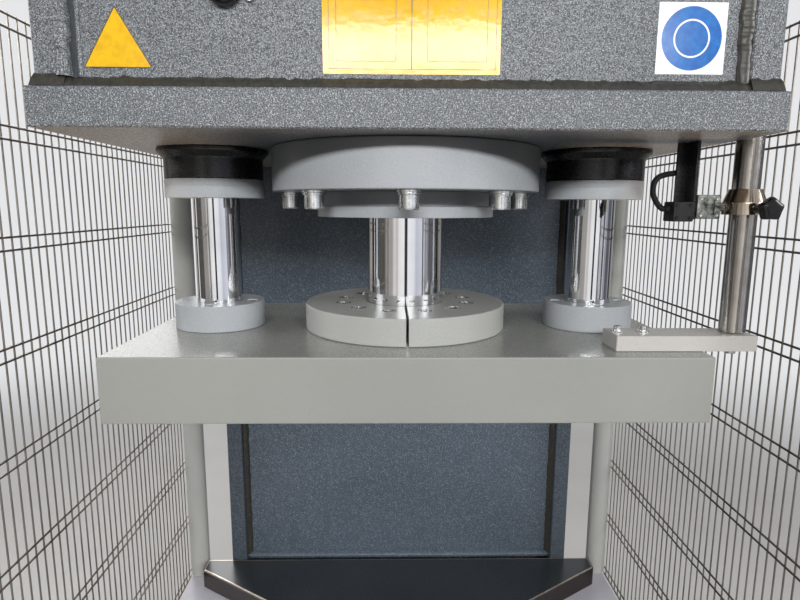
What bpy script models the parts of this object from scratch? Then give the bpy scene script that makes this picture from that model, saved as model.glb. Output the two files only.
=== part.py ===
# C-frame hydraulic press with a guided platen, side guards and its power unit.
# Metres, +Z up. The origin is on the floor, in the middle of the machine's plan.
# The operator stands at -Y. At rest the platen is at the top of its stroke.

import math

import bmesh
import bpy
from mathutils import Matrix, Vector

# Clearances
SEAT_GAP = 0.0003
RUN_GAP = 0.0003
TOOL_PAST = 0.010
TOOL_OVERLAP = 0.002

# Heights and strokes
TABLE_TOP = 0.750
TABLE_THICK = 0.050
DECK_THICK = 0.008
FOOT_HEIGHT = 0.040
DAYLIGHT = 0.6205
STROKE = 0.400
HEAD_GAP = 0.288
HEAD_PLATE_THICK = 0.046
HEAD_TOP_THICK = 0.030

# Frame plates
FRAME_MARGIN = 0.020
SIDE_THICK = 0.037
HEAD_LIP = 0.0105
HEAD_FRONT_OVERHANG = 0.050
SIDE_FRONT_SETBACK = 0.008
FRONT_PLATE_SETBACK = 0.013
FRONT_PLATE_THICK = 0.030
THROAT_DEPTH = 0.4135
THROAT_PLATE_THICK = 0.030
THROAT_PLATE_RECESS = 0.026
SPINE_DEPTH = 0.420
SPINE_PLATE_THICK = 0.025
FRAME_CHAMFER = 0.120
BED_TOP_THICK = 0.040
BED_FRONT_THICK = 0.025
FOOT_BAR_DEPTH = 0.160
FOOT_BAR_OVERHANG = 0.050
PLATE_EDGE = 0.002

# Table and deck
TABLE_EAR_WIDTH = 0.064
TABLE_FRONT_HALF = 0.290
TABLE_EAR_LENGTH = 0.042
TABLE_SHOULDER = 0.134
TABLE_EDGE = 0.003
DECK_SIDE_SETBACK = 0.01015
DECK_OVERHANG = 0.250
DECK_REAR_TRIM = 0.055
BED_BLOCK_INSET = 0.050
BED_BLOCK_DEPTH = 0.360

# Platen and split collar
PLATEN_END = 0.104
PLATEN_DEPTH = 0.435
PLATEN_THICK = 0.093
PLATEN_EDGE = 0.002
BRACKET_EDGE = 0.001
COLLAR_RADIUS = 0.166
COLLAR_HEIGHT = 0.042
COLLAR_SPLIT = 0.004
COLLAR_EDGE = 0.003
COLLAR_SCREWS = 12
COLLAR_SCREW_RATIO = 0.63
COUNTERBORE_RADIUS = 0.0095
COUNTERBORE_DEPTH = 0.010

# Cylinder
ROD_RADIUS = 0.0625
ROD_EDGE = 0.001
ROD_WAY = 0.002
BARREL_BORE = 0.115
BARREL_WALL = 0.035
FLANGE_RIM = 0.064
FLANGE_THICK = 0.0665
FLANGE_BOLTS = 8
FLANGE_BOLT_RATIO = 0.875
BOLT_HEAD_RADIUS = 0.0137
BOLT_HEAD_HEIGHT = 0.0195
WASHER_RADIUS = 0.0155
WASHER_THICK = 0.0035
GLAND_RADIUS = 0.1433
GLAND_LIP = 0.0063
GLAND_DISC_THICK = 0.0165
GLAND_NECK_HEIGHT = 0.022
GLAND_EDGE = 0.0015
ROD_BUSH_WALL = 0.016
ROD_BUSH_LENGTH = 0.048
ROD_BUSH_DROP = 0.006
ROD_SEAL_WALL = 0.009
ROD_SEAL_HEIGHT = 0.010
ROD_SEAL_LIFT = 0.010
PISTON_LENGTH = 0.060
PISTON_EDGE = 0.002
PISTON_SEAL_HEIGHT = 0.014
PISTON_SEAL_WALL = 0.009
CAP_THICK = 0.040
CAP_SPIGOT = 0.012
CAP_CLEARANCE = 0.006
CAP_EDGE = 0.003
PISTON_TOP_CLEARANCE = 0.010
PISTON_BASE_CLEARANCE = 0.030

# Guide columns
GUIDE_FLANGE_GAP = 0.0105
COLUMN_RADIUS = 0.036
COLUMN_SPARE = 0.026
COLUMN_EDGE = 0.002
BASE_RING_RADIUS = 0.072
BASE_RING_HEIGHT = 0.042
RING_SCREWS = 4
RING_SCREW_CIRCLE = 0.054
GUIDE_RING_RADIUS = 0.0775
GUIDE_RING_THICK = 0.029
GUIDE_RING_EDGE = 0.0015
GUIDE_RING_WAY = 0.001
HOUSING_HEIGHT = 0.048
HOUSING_TOP_RADIUS = 0.0865
HOUSING_TOP_THICK = 0.006
HOUSING_TAPER = 0.010
HOUSING_SETBACK = 0.0005
BUSH_WALL = 0.008
BUSH_ABOVE_PLATE = 0.040

# Stroke bracket, rod and trip collar
BRACKET_HEIGHT = 0.022
BRACKET_DEPTH = 0.055
BRACKET_SEAT = 0.1245
BRACKET_REACH = 0.022
BRACKET_SETBACK = 0.030
TRIP_ROD_CLEARANCE = 0.004
TRIP_ROD_RADIUS = 0.0175
TRIP_ROD_LENGTH = 0.600
TRIP_OFFSET = 0.0095
TRIP_RADIUS = 0.0277
TRIP_BODY = 0.016
TRIP_CONE = 0.019
TRIP_CONE_RADIUS = 0.0207
TRIP_EDGE = 0.001
KNOB_LOBES = 5
KNOB_RADIUS = 0.0143
KNOB_LOBE_DEPTH = 0.0026
KNOB_LENGTH = 0.016
KNOB_EDGE = 0.003
KNOB_HUB_RADIUS = 0.0062
KNOB_HUB_LENGTH = 0.019
KNOB_STUD_RADIUS = 0.004

# Limit switch
SWITCH_BODY_WIDTH = 0.0283
SWITCH_BODY_DEPTH = 0.030
SWITCH_BODY_HEIGHT = 0.027
SWITCH_BODY_EDGE = 0.002
SWITCH_DROP = 0.108
SWITCH_AXIS_LIFT = 0.020
SWITCH_HEAD_LENGTH = 0.0330
SWITCH_HEAD_DEPTH = 0.026
SWITCH_HEAD_HEIGHT = 0.0325
SWITCH_HEAD_EDGE = 0.0015
POCKET_CLEARANCE = 0.0015
ROLLER_WRAP = 0.0006
ROLLER_TOUCH = 0.0005
STRAP_SHEET = 0.004
STRAP_WIDTH = 0.0175
STRAP_FLANGE = 0.0295
STRAP_LIFT = 0.003
YOKE_HALF_HEIGHT = 0.004
YOKE_LIP = 0.003
ROLLER_RADIUS = 0.006
ROLLER_WIDTH = 0.006
ROLLER_AXLE = 0.0017
PLUNGER_RADIUS = 0.0035
PLUNGER_TRAVEL = 0.004
YOKE_SHEET = 0.002
CABLE_RADIUS = 0.0041
CABLE_STANDOFF = 0.002
CABLE_STUB = 0.003
GLAND_NUT_RADIUS = 0.0065
GLAND_NUT_LENGTH = 0.0050
GLAND_NUT_EDGE = 0.0015
GLAND_LIFT = 0.0172

# Front knob
FRONT_KNOB_X = -0.2135
FRONT_KNOB_LIFT = 0.109
FRONT_KNOB_RADIUS = 0.0205
FRONT_KNOB_LENGTH = 0.022
FRONT_KNOB_EDGE = 0.006
FRONT_KNOB_NECK = 0.004

# Side guards
POST_GAP = 0.092
POST_RADIUS = 0.02415
POST_HEIGHT = 1.230
POST_EDGE = 0.002
REAR_POST_SETBACK = 0.001
FRONT_POST_INSET = 0.035
WIRE_THICK = 0.005
WIRE_PAIR_WIDTH = 0.023
WIRE_PAIR_PITCH = 0.152
WIRE_PAIRS = 9
WIRE_UPRIGHTS = 7
WIRE_DROP = 0.0147

# Power unit
TANK_WIDTH = 0.640
TANK_DEPTH = 0.420
TANK_HEIGHT = 0.260
TANK_WALL = 0.006
TANK_LID_THICK = 0.010
TANK_EDGE = 0.006
TANK_LID_EDGE = 0.002
MOTOR_RADIUS = 0.095
MOTOR_LENGTH = 0.280
MOTOR_FINS = 14
FIN_HEIGHT = 0.008
MOTOR_LIFT = 0.012
MOTOR_INSET = 0.040
MOTOR_FOOT_INSET = 0.050
MOTOR_FOOT_HALF = 0.080
MOTOR_FOOT_DEPTH = 0.038
BELL_RADIUS = 0.080
BELL_LENGTH = 0.090
BELL_RIM = 0.020
BELL_NOSE = 0.012
PUMP_RADIUS = 0.050
PUMP_LENGTH = 0.100
PUMP_EDGE = 0.006
VALVE_WIDTH = 0.120
VALVE_DEPTH = 0.100
VALVE_HEIGHT = 0.090
SOLENOID_RADIUS = 0.022
SOLENOID_LENGTH = 0.070
PIPE_RADIUS = 0.011
PIPE_LEAD = 0.050
PIPE_RISE = 0.060
PIPE_POINTS = 16

# Facets of round pieces
LARGE_STEPS = 40
ROUND_STEPS = 28
FINE_STEPS = 16
SMALL_STEPS = 10

# Derived lengths
BARREL_LENGTH = CAP_SPIGOT + PISTON_TOP_CLEARANCE + PISTON_LENGTH + STROKE + PISTON_BASE_CLEARANCE
COLUMN_HEIGHT = HEAD_GAP + HEAD_PLATE_THICK + BUSH_ABOVE_PLATE + STROKE + COLUMN_SPARE
HEAD_BOX_HEIGHT = BARREL_LENGTH + CAP_THICK - HEAD_PLATE_THICK + CAP_CLEARANCE

# Derived heights
DECK_TOP = TABLE_TOP - TABLE_THICK - SEAT_GAP
DECK_BASE = DECK_TOP - DECK_THICK
PLATEN_BASE = TABLE_TOP + DAYLIGHT
PLATEN_TOP = PLATEN_BASE + PLATEN_THICK
HEAD_BASE = PLATEN_TOP + HEAD_GAP
HEAD_PLATE_TOP = HEAD_BASE + HEAD_PLATE_THICK
HEAD_TOP = HEAD_PLATE_TOP + HEAD_BOX_HEIGHT
ROOF_TOP = HEAD_TOP + HEAD_TOP_THICK
SWITCH_BASE = HEAD_BASE - SWITCH_DROP
TRIP_BASE = SWITCH_BASE + TRIP_OFFSET

# Derived widths, outwards from the cylinder
BARREL_RADIUS = BARREL_BORE + BARREL_WALL
FLANGE_RADIUS = BARREL_RADIUS + FLANGE_RIM
GLAND_NECK_RADIUS = GLAND_RADIUS - GLAND_LIP
GUIDE_SPACING = FLANGE_RADIUS + GUIDE_FLANGE_GAP + HOUSING_TOP_RADIUS
PLATEN_WIDTH = 2 * (GUIDE_SPACING + PLATEN_END)
SIDE_OUTER_HALF = PLATEN_WIDTH / 2 + FRAME_MARGIN
SIDE_INNER = SIDE_OUTER_HALF - SIDE_THICK
HEAD_HALF = SIDE_OUTER_HALF + HEAD_LIP
TABLE_REAR_HALF = SIDE_OUTER_HALF + TABLE_EAR_WIDTH
BED_BLOCK_HALF = TABLE_FRONT_HALF - BED_BLOCK_INSET
POST_X = SIDE_OUTER_HALF + POST_GAP
DECK_HALF_WIDTH = POST_X + POST_RADIUS - DECK_SIDE_SETBACK
TRIP_ROD_X = HEAD_HALF + TRIP_ROD_CLEARANCE + TRIP_ROD_RADIUS
BRACKET_START = PLATEN_WIDTH / 2 - BRACKET_SEAT
BRACKET_END = TRIP_ROD_X + BRACKET_REACH

# Derived depths, with the machine's plan centred on the origin
FRONT_REACH = PLATEN_DEPTH / 2 + DECK_OVERHANG
REAR_REACH = THROAT_DEPTH + SPINE_DEPTH
RAM_Y = (FRONT_REACH - REAR_REACH) / 2
PLATEN_FRONT = RAM_Y - PLATEN_DEPTH / 2
HEAD_FRONT = PLATEN_FRONT - HEAD_FRONT_OVERHANG
SIDE_FRONT = HEAD_FRONT + SIDE_FRONT_SETBACK
FRONT_PLATE_FACE = HEAD_FRONT + FRONT_PLATE_SETBACK
THROAT_BACK = RAM_Y + THROAT_DEPTH
THROAT_FACE = THROAT_BACK + THROAT_PLATE_RECESS
FRAME_BACK = RAM_Y + REAR_REACH
DECK_FRONT = RAM_Y - FRONT_REACH
TRIP_Y = PLATEN_FRONT + BRACKET_SETBACK + BRACKET_DEPTH / 2


def clear_scene():
    for obj in list(bpy.data.objects):
        bpy.data.objects.remove(obj, do_unlink=True)


def make_collection(name):
    group = bpy.data.collections.new(name)
    bpy.context.scene.collection.children.link(group)
    return group


def make_material(name, colour, roughness, metallic=0.0):
    mat = bpy.data.materials.new(name)
    mat.use_nodes = True
    shader = mat.node_tree.nodes["Principled BSDF"]
    shader.inputs["Base Color"].default_value = (*colour, 1.0)
    shader.inputs["Roughness"].default_value = roughness
    shader.inputs["Metallic"].default_value = metallic
    mat.diffuse_color = (*colour, 1.0)
    return mat


clear_scene()
PRESS = make_collection("hydraulic_press")
CUTTERS = make_collection("cutters")

HAMMERTONE = make_material("hammertone_grey", (0.16, 0.18, 0.20), 0.45)
PALE_ENAMEL = make_material("pale_grey_enamel", (0.34, 0.35, 0.34), 0.45)
THROAT_PAINT = make_material("throat_paint", (0.06, 0.075, 0.09), 0.5)
TABLE_STEEL = make_material("blued_table_steel", (0.02, 0.023, 0.027), 0.4, 0.6)
HARD_CHROME = make_material("hard_chrome", (0.75, 0.75, 0.76), 0.08, 1.0)
GROUND_STEEL = make_material("ground_steel", (0.52, 0.51, 0.49), 0.28, 1.0)
ZINC = make_material("zinc_plate", (0.62, 0.62, 0.60), 0.3, 1.0)
BLACK_PAINT = make_material("black_paint", (0.015, 0.015, 0.017), 0.4)
BLACK_PLASTIC = make_material("black_plastic", (0.012, 0.012, 0.013), 0.35)
CAST_ZINC = make_material("cast_zinc", (0.30, 0.31, 0.29), 0.5, 0.8)
BRONZE = make_material("bearing_bronze", (0.55, 0.36, 0.16), 0.35, 1.0)
SEAL_RUBBER = make_material("seal_rubber", (0.02, 0.02, 0.02), 0.7)
BARE_WIRE = make_material("bare_wire", (0.20, 0.19, 0.18), 0.45, 0.8)
UNIT_PAINT = make_material("unit_paint", (0.10, 0.12, 0.15), 0.4)


def place(obj, name, mat, location=(0, 0, 0), rotation=(0, 0, 0), group=None):
    """Name an object, give it a material and link it to its collection."""
    obj.name = name
    obj.data.name = name
    obj.location = location
    obj.rotation_euler = rotation
    if mat:
        obj.data.materials.append(mat)
    (group or PRESS).objects.link(obj)
    return obj


def add_bevel(obj, width, segments=1, angle=35):
    mod = obj.modifiers.new("edge", "BEVEL")
    mod.width = width
    mod.segments = segments
    mod.limit_method = "ANGLE"
    mod.angle_limit = math.radians(angle)
    mod.harden_normals = False
    return mod


def box(name, low, high, mat, edge=0.0, segments=1, group=None):
    """A block between two corners, with its origin at its centre."""
    low, high = Vector(low), Vector(high)
    mesh = bpy.data.meshes.new(name)
    bm = bmesh.new()
    bmesh.ops.create_cube(bm, size=1.0, matrix=Matrix.Diagonal((*(high - low), 1.0)))
    bm.to_mesh(mesh)
    bm.free()
    obj = place(bpy.data.objects.new(name, mesh), name, mat, (low + high) / 2, group=group)
    if edge:
        add_bevel(obj, edge, segments)
    return obj


def turned(name, profile, mat, location, ring=False, steps=ROUND_STEPS, rotation=(0, 0, 0), group=None):
    """A profile of (radius, height) points, listed down its outer side, turned about Z."""
    count = len(profile)
    edges = [(i, i + 1) for i in range(count - 1)]
    if ring:
        edges.append((count - 1, 0))
    mesh = bpy.data.meshes.new(name)
    mesh.from_pydata([(r, 0, z) for r, z in profile], edges, [])
    obj = place(bpy.data.objects.new(name, mesh), name, mat, location, rotation, group)
    screw = obj.modifiers.new("turn", "SCREW")
    screw.angle = math.tau
    screw.steps = steps
    screw.render_steps = steps
    screw.use_merge_vertices = True
    screw.merge_threshold = 0.00001
    screw.use_smooth_shade = True
    return obj


def ring_profile(inner, outer, base, top, edge=0.0):
    """Section of a plain ring, its outer corners chamfered by edge."""
    if not edge:
        return [(inner, top), (outer, top), (outer, base), (inner, base)]
    return [(inner, top), (outer - edge, top), (outer, top - edge),
            (outer, base + edge), (outer - edge, base), (inner, base)]


def disc_profile(radius, base, top, edge=0.0):
    """Half section of a solid round bar, its corners chamfered by edge."""
    if not edge:
        return [(0, top), (radius, top), (radius, base), (0, base)]
    return [(0, top), (radius - edge, top), (radius, top - edge),
            (radius, base + edge), (radius - edge, base), (0, base)]


def to_mesh(obj):
    """Replace a curve object by the closed mesh of what it draws."""
    bpy.context.view_layer.update()
    depsgraph = bpy.context.evaluated_depsgraph_get()
    mesh = bpy.data.meshes.new_from_object(obj.evaluated_get(depsgraph))
    bm = bmesh.new()
    bm.from_mesh(mesh)
    bmesh.ops.remove_doubles(bm, verts=bm.verts, dist=0.000005)
    bm.to_mesh(mesh)
    bm.free()
    name = obj.name
    made = bpy.data.objects.new(name + "_mesh", mesh)
    made.matrix_world = obj.matrix_world
    for group in obj.users_collection:
        group.objects.link(made)
    old = obj.data
    bpy.data.objects.remove(obj, do_unlink=True)
    bpy.data.curves.remove(old)
    made.name = name
    mesh.name = name
    return made


def outline_plate(name, points, thickness, mat, location, rotation=(0, 0, 0), group=None):
    """A flat plate from a closed outline, its thickness centred on the outline's plane."""
    curve = bpy.data.curves.new(name, "CURVE")
    curve.dimensions = "2D"
    curve.fill_mode = "BOTH"
    curve.extrude = thickness / 2
    spline = curve.splines.new("POLY")
    spline.points.add(len(points) - 1)
    for point, (x, y) in zip(spline.points, points):
        point.co = (x, y, 0, 1)
    spline.use_cyclic_u = True
    obj = place(bpy.data.objects.new(name, curve), name, mat, location, rotation, group)
    return to_mesh(obj)


def tube(name, points, radius, mat, resolution=2):
    """A bar of round section along a list of points."""
    curve = bpy.data.curves.new(name, "CURVE")
    curve.dimensions = "3D"
    curve.bevel_depth = radius
    curve.bevel_resolution = resolution
    curve.use_fill_caps = True
    spline = curve.splines.new("POLY")
    spline.points.add(len(points) - 1)
    for point, co in zip(spline.points, points):
        point.co = (*co, 1)
    return place(bpy.data.objects.new(name, curve), name, mat)


def boolean(obj, tool, operation):
    """Cut a tool away from an object, or join it on, and keep the tool as a guide."""
    for group in list(tool.users_collection):
        group.objects.unlink(tool)
    CUTTERS.objects.link(tool)
    tool.hide_render = True
    tool.display_type = "WIRE"
    mod = obj.modifiers.new(tool.name, "BOOLEAN")
    mod.operation = operation
    mod.object = tool
    mod.solver = "EXACT"
    return obj


def cut(obj, tool):
    return boolean(obj, tool, "DIFFERENCE")


def join(obj, tool):
    return boolean(obj, tool, "UNION")


def round_tool(name, radius, start, end, steps=FINE_STEPS):
    """A plain round bar between two points, for holes and bosses."""
    start, end = Vector(start), Vector(end)
    span = end - start
    mesh = bpy.data.meshes.new(name)
    bm = bmesh.new()
    bmesh.ops.create_cone(bm, cap_ends=True, segments=steps, radius1=radius, radius2=radius,
                          depth=span.length)
    bm.to_mesh(mesh)
    bm.free()
    turn = Vector((0, 0, 1)).rotation_difference(span).to_euler()
    return place(bpy.data.objects.new(name, mesh), name, None, (start + end) / 2, turn, CUTTERS)


def bars_tool(name, radius, base, top, spots, steps):
    """Several upright bars in one mesh, one at each (x, y) of spots."""
    mesh = bpy.data.meshes.new(name)
    bm = bmesh.new()
    for x, y in spots:
        centre = Matrix.Translation((x, y, (base + top) / 2))
        bmesh.ops.create_cone(bm, cap_ends=True, segments=steps, radius1=radius, radius2=radius,
                              depth=top - base, matrix=centre)
    bm.to_mesh(mesh)
    bm.free()
    return place(bpy.data.objects.new(name, mesh), name, None, group=CUTTERS)


def carrier(name, location, parent=None):
    """An empty on a joint's axis, which the moving pieces ride on."""
    empty = bpy.data.objects.new(name, None)
    empty.empty_display_size = 0.05
    PRESS.objects.link(empty)
    empty.location = location
    if parent:
        ride(empty, parent)
    return empty


def ride(obj, parent):
    """Parent an object and leave it where it stands."""
    bpy.context.view_layer.update()
    obj.parent = parent
    obj.matrix_parent_inverse = parent.matrix_world.inverted()
    return obj


def on_circle(count, radius, first=0.0, centre=(0, 0)):
    """Evenly spaced (x, y) places on a circle, the first at an angle in degrees."""
    spots = []
    for index in range(count):
        angle = math.radians(first) + math.tau * index / count
        spots.append((centre[0] + radius * math.cos(angle), centre[1] + radius * math.sin(angle)))
    return spots


def make_frame():
    """The welded C-frame: side plates, throat, spine, bed, head and feet."""
    outline = [
        (DECK_FRONT + DECK_OVERHANG, FOOT_HEIGHT + SEAT_GAP),
        (DECK_FRONT + DECK_OVERHANG, DECK_BASE - SEAT_GAP),
        (THROAT_BACK, DECK_BASE - SEAT_GAP),
        (THROAT_BACK, HEAD_PLATE_TOP + SEAT_GAP),
        (SIDE_FRONT, HEAD_PLATE_TOP + SEAT_GAP),
        (SIDE_FRONT, HEAD_TOP),
        (FRAME_BACK - FRAME_CHAMFER, HEAD_TOP),
        (FRAME_BACK, HEAD_TOP - FRAME_CHAMFER),
        (FRAME_BACK, FOOT_HEIGHT + SEAT_GAP),
    ]
    turn = (math.pi / 2, 0, math.pi / 2)
    middle = SIDE_OUTER_HALF - SIDE_THICK / 2
    for side, name in ((-1, "side_plate_left"), (1, "side_plate_right")):
        plate = outline_plate(name, outline, SIDE_THICK, HAMMERTONE, (side * middle, 0, 0), turn)
        add_bevel(plate, PLATE_EDGE)

    inner = SIDE_INNER - SEAT_GAP
    jaw_front = DECK_FRONT + DECK_OVERHANG
    box("throat_plate", (-inner, THROAT_FACE, FOOT_HEIGHT + SEAT_GAP),
        (inner, THROAT_FACE + THROAT_PLATE_THICK, HEAD_TOP), THROAT_PAINT)
    slant = SPINE_PLATE_THICK * math.tan(math.pi / 8)
    rear = [
        (FRAME_BACK, FOOT_HEIGHT + SEAT_GAP),
        (FRAME_BACK, HEAD_TOP - FRAME_CHAMFER),
        (FRAME_BACK - FRAME_CHAMFER, HEAD_TOP),
        (FRAME_BACK - FRAME_CHAMFER - SPINE_PLATE_THICK * math.sqrt(2), HEAD_TOP),
        (FRAME_BACK - SPINE_PLATE_THICK, HEAD_TOP - FRAME_CHAMFER - slant),
        (FRAME_BACK - SPINE_PLATE_THICK, FOOT_HEIGHT + SEAT_GAP),
    ]
    outline_plate("spine_rear_plate", rear, 2 * inner, HAMMERTONE, (0, 0, 0), turn)
    box("bed_front_plate", (-inner, jaw_front, FOOT_HEIGHT + SEAT_GAP),
        (inner, jaw_front + BED_FRONT_THICK, DECK_BASE - SEAT_GAP), HAMMERTONE, PLATE_EDGE)

    for name, start in (("foot_bar_front", jaw_front), ("foot_bar_rear", FRAME_BACK - FOOT_BAR_DEPTH)):
        reach = SIDE_OUTER_HALF + FOOT_BAR_OVERHANG
        box(name, (-reach, start, 0), (reach, start + FOOT_BAR_DEPTH, FOOT_HEIGHT), HAMMERTONE,
            PLATE_EDGE)


def make_table():
    """The dark table plate, narrowed towards the operator, on its block and the pale deck."""
    rear = THROAT_BACK - SEAT_GAP
    ear = rear - TABLE_EAR_LENGTH
    shoulder = ear - TABLE_SHOULDER
    half = [(TABLE_REAR_HALF, rear), (TABLE_REAR_HALF, ear), (TABLE_FRONT_HALF, shoulder),
            (TABLE_FRONT_HALF, PLATEN_FRONT)]
    outline = half + [(-x, y) for x, y in reversed(half)]
    middle = TABLE_TOP - TABLE_THICK / 2
    table = outline_plate("table_plate", outline, TABLE_THICK, TABLE_STEEL, (0, 0, middle))
    add_bevel(table, TABLE_EDGE)

    deck = box("deck_plate", (-DECK_HALF_WIDTH, DECK_FRONT, DECK_BASE),
               (DECK_HALF_WIDTH, THROAT_BACK + DECK_REAR_TRIM, DECK_TOP), PALE_ENAMEL)
    notch = SIDE_OUTER_HALF + SEAT_GAP
    notch_front = THROAT_BACK - PLATE_EDGE - SEAT_GAP
    notch_back = THROAT_BACK + DECK_REAR_TRIM + TOOL_PAST
    cut(deck, box("deck_throat_notch", (-notch, notch_front, DECK_BASE - TOOL_PAST),
                  (notch, notch_back, DECK_TOP + TOOL_PAST), None, group=CUTTERS))
    start = RAM_Y - BED_BLOCK_DEPTH / 2
    low = (-BED_BLOCK_HALF, start, DECK_BASE)
    high = (BED_BLOCK_HALF, start + BED_BLOCK_DEPTH, DECK_TOP)
    cut(deck, box("deck_window", (low[0] - SEAT_GAP, low[1] - SEAT_GAP, DECK_BASE - TOOL_PAST),
                  (high[0] + SEAT_GAP, high[1] + SEAT_GAP, DECK_TOP + TOOL_PAST), None, group=CUTTERS))
    bed = box("bed_top_plate", (-SIDE_INNER + SEAT_GAP, PLATEN_FRONT + BED_FRONT_THICK + SEAT_GAP,
                                DECK_BASE - BED_TOP_THICK),
              (SIDE_INNER - SEAT_GAP, THROAT_FACE - SEAT_GAP, DECK_BASE - SEAT_GAP), HAMMERTONE)
    join(bed, box("bed_block", (low[0], low[1], DECK_BASE - BED_TOP_THICK / 2), high, None,
                  group=CUTTERS))


def make_head():
    """The thick plate under the head, its front and its roof."""
    plate = box("head_bottom_plate", (-HEAD_HALF, HEAD_FRONT, HEAD_BASE),
                (HEAD_HALF, THROAT_BACK - SEAT_GAP, HEAD_PLATE_TOP), HAMMERTONE)
    add_bevel(plate, PLATE_EDGE)
    above, below = HEAD_PLATE_TOP + TOOL_PAST, HEAD_BASE - TOOL_PAST
    cut(plate, round_tool("barrel_hole", BARREL_RADIUS + SEAT_GAP, (0, RAM_Y, below),
                          (0, RAM_Y, above), ROUND_STEPS))
    hole = COLUMN_RADIUS + RUN_GAP + BUSH_WALL + SEAT_GAP
    spots = [(-GUIDE_SPACING, RAM_Y), (GUIDE_SPACING, RAM_Y)]
    cut(plate, bars_tool("guide_holes", hole, below, above, spots, ROUND_STEPS))

    inner = SIDE_INNER - SEAT_GAP
    front = box("head_front_plate", (-inner, FRONT_PLATE_FACE, HEAD_PLATE_TOP + SEAT_GAP),
                (inner, FRONT_PLATE_FACE + FRONT_PLATE_THICK, HEAD_TOP), HAMMERTONE)
    add_bevel(front, PLATE_EDGE / 2)
    roof = box("head_roof_plate", (-SIDE_OUTER_HALF, SIDE_FRONT, HEAD_TOP + SEAT_GAP),
               (SIDE_OUTER_HALF, FRAME_BACK - FRAME_CHAMFER, ROOF_TOP), HAMMERTONE)
    add_bevel(roof, PLATE_EDGE)


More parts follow.
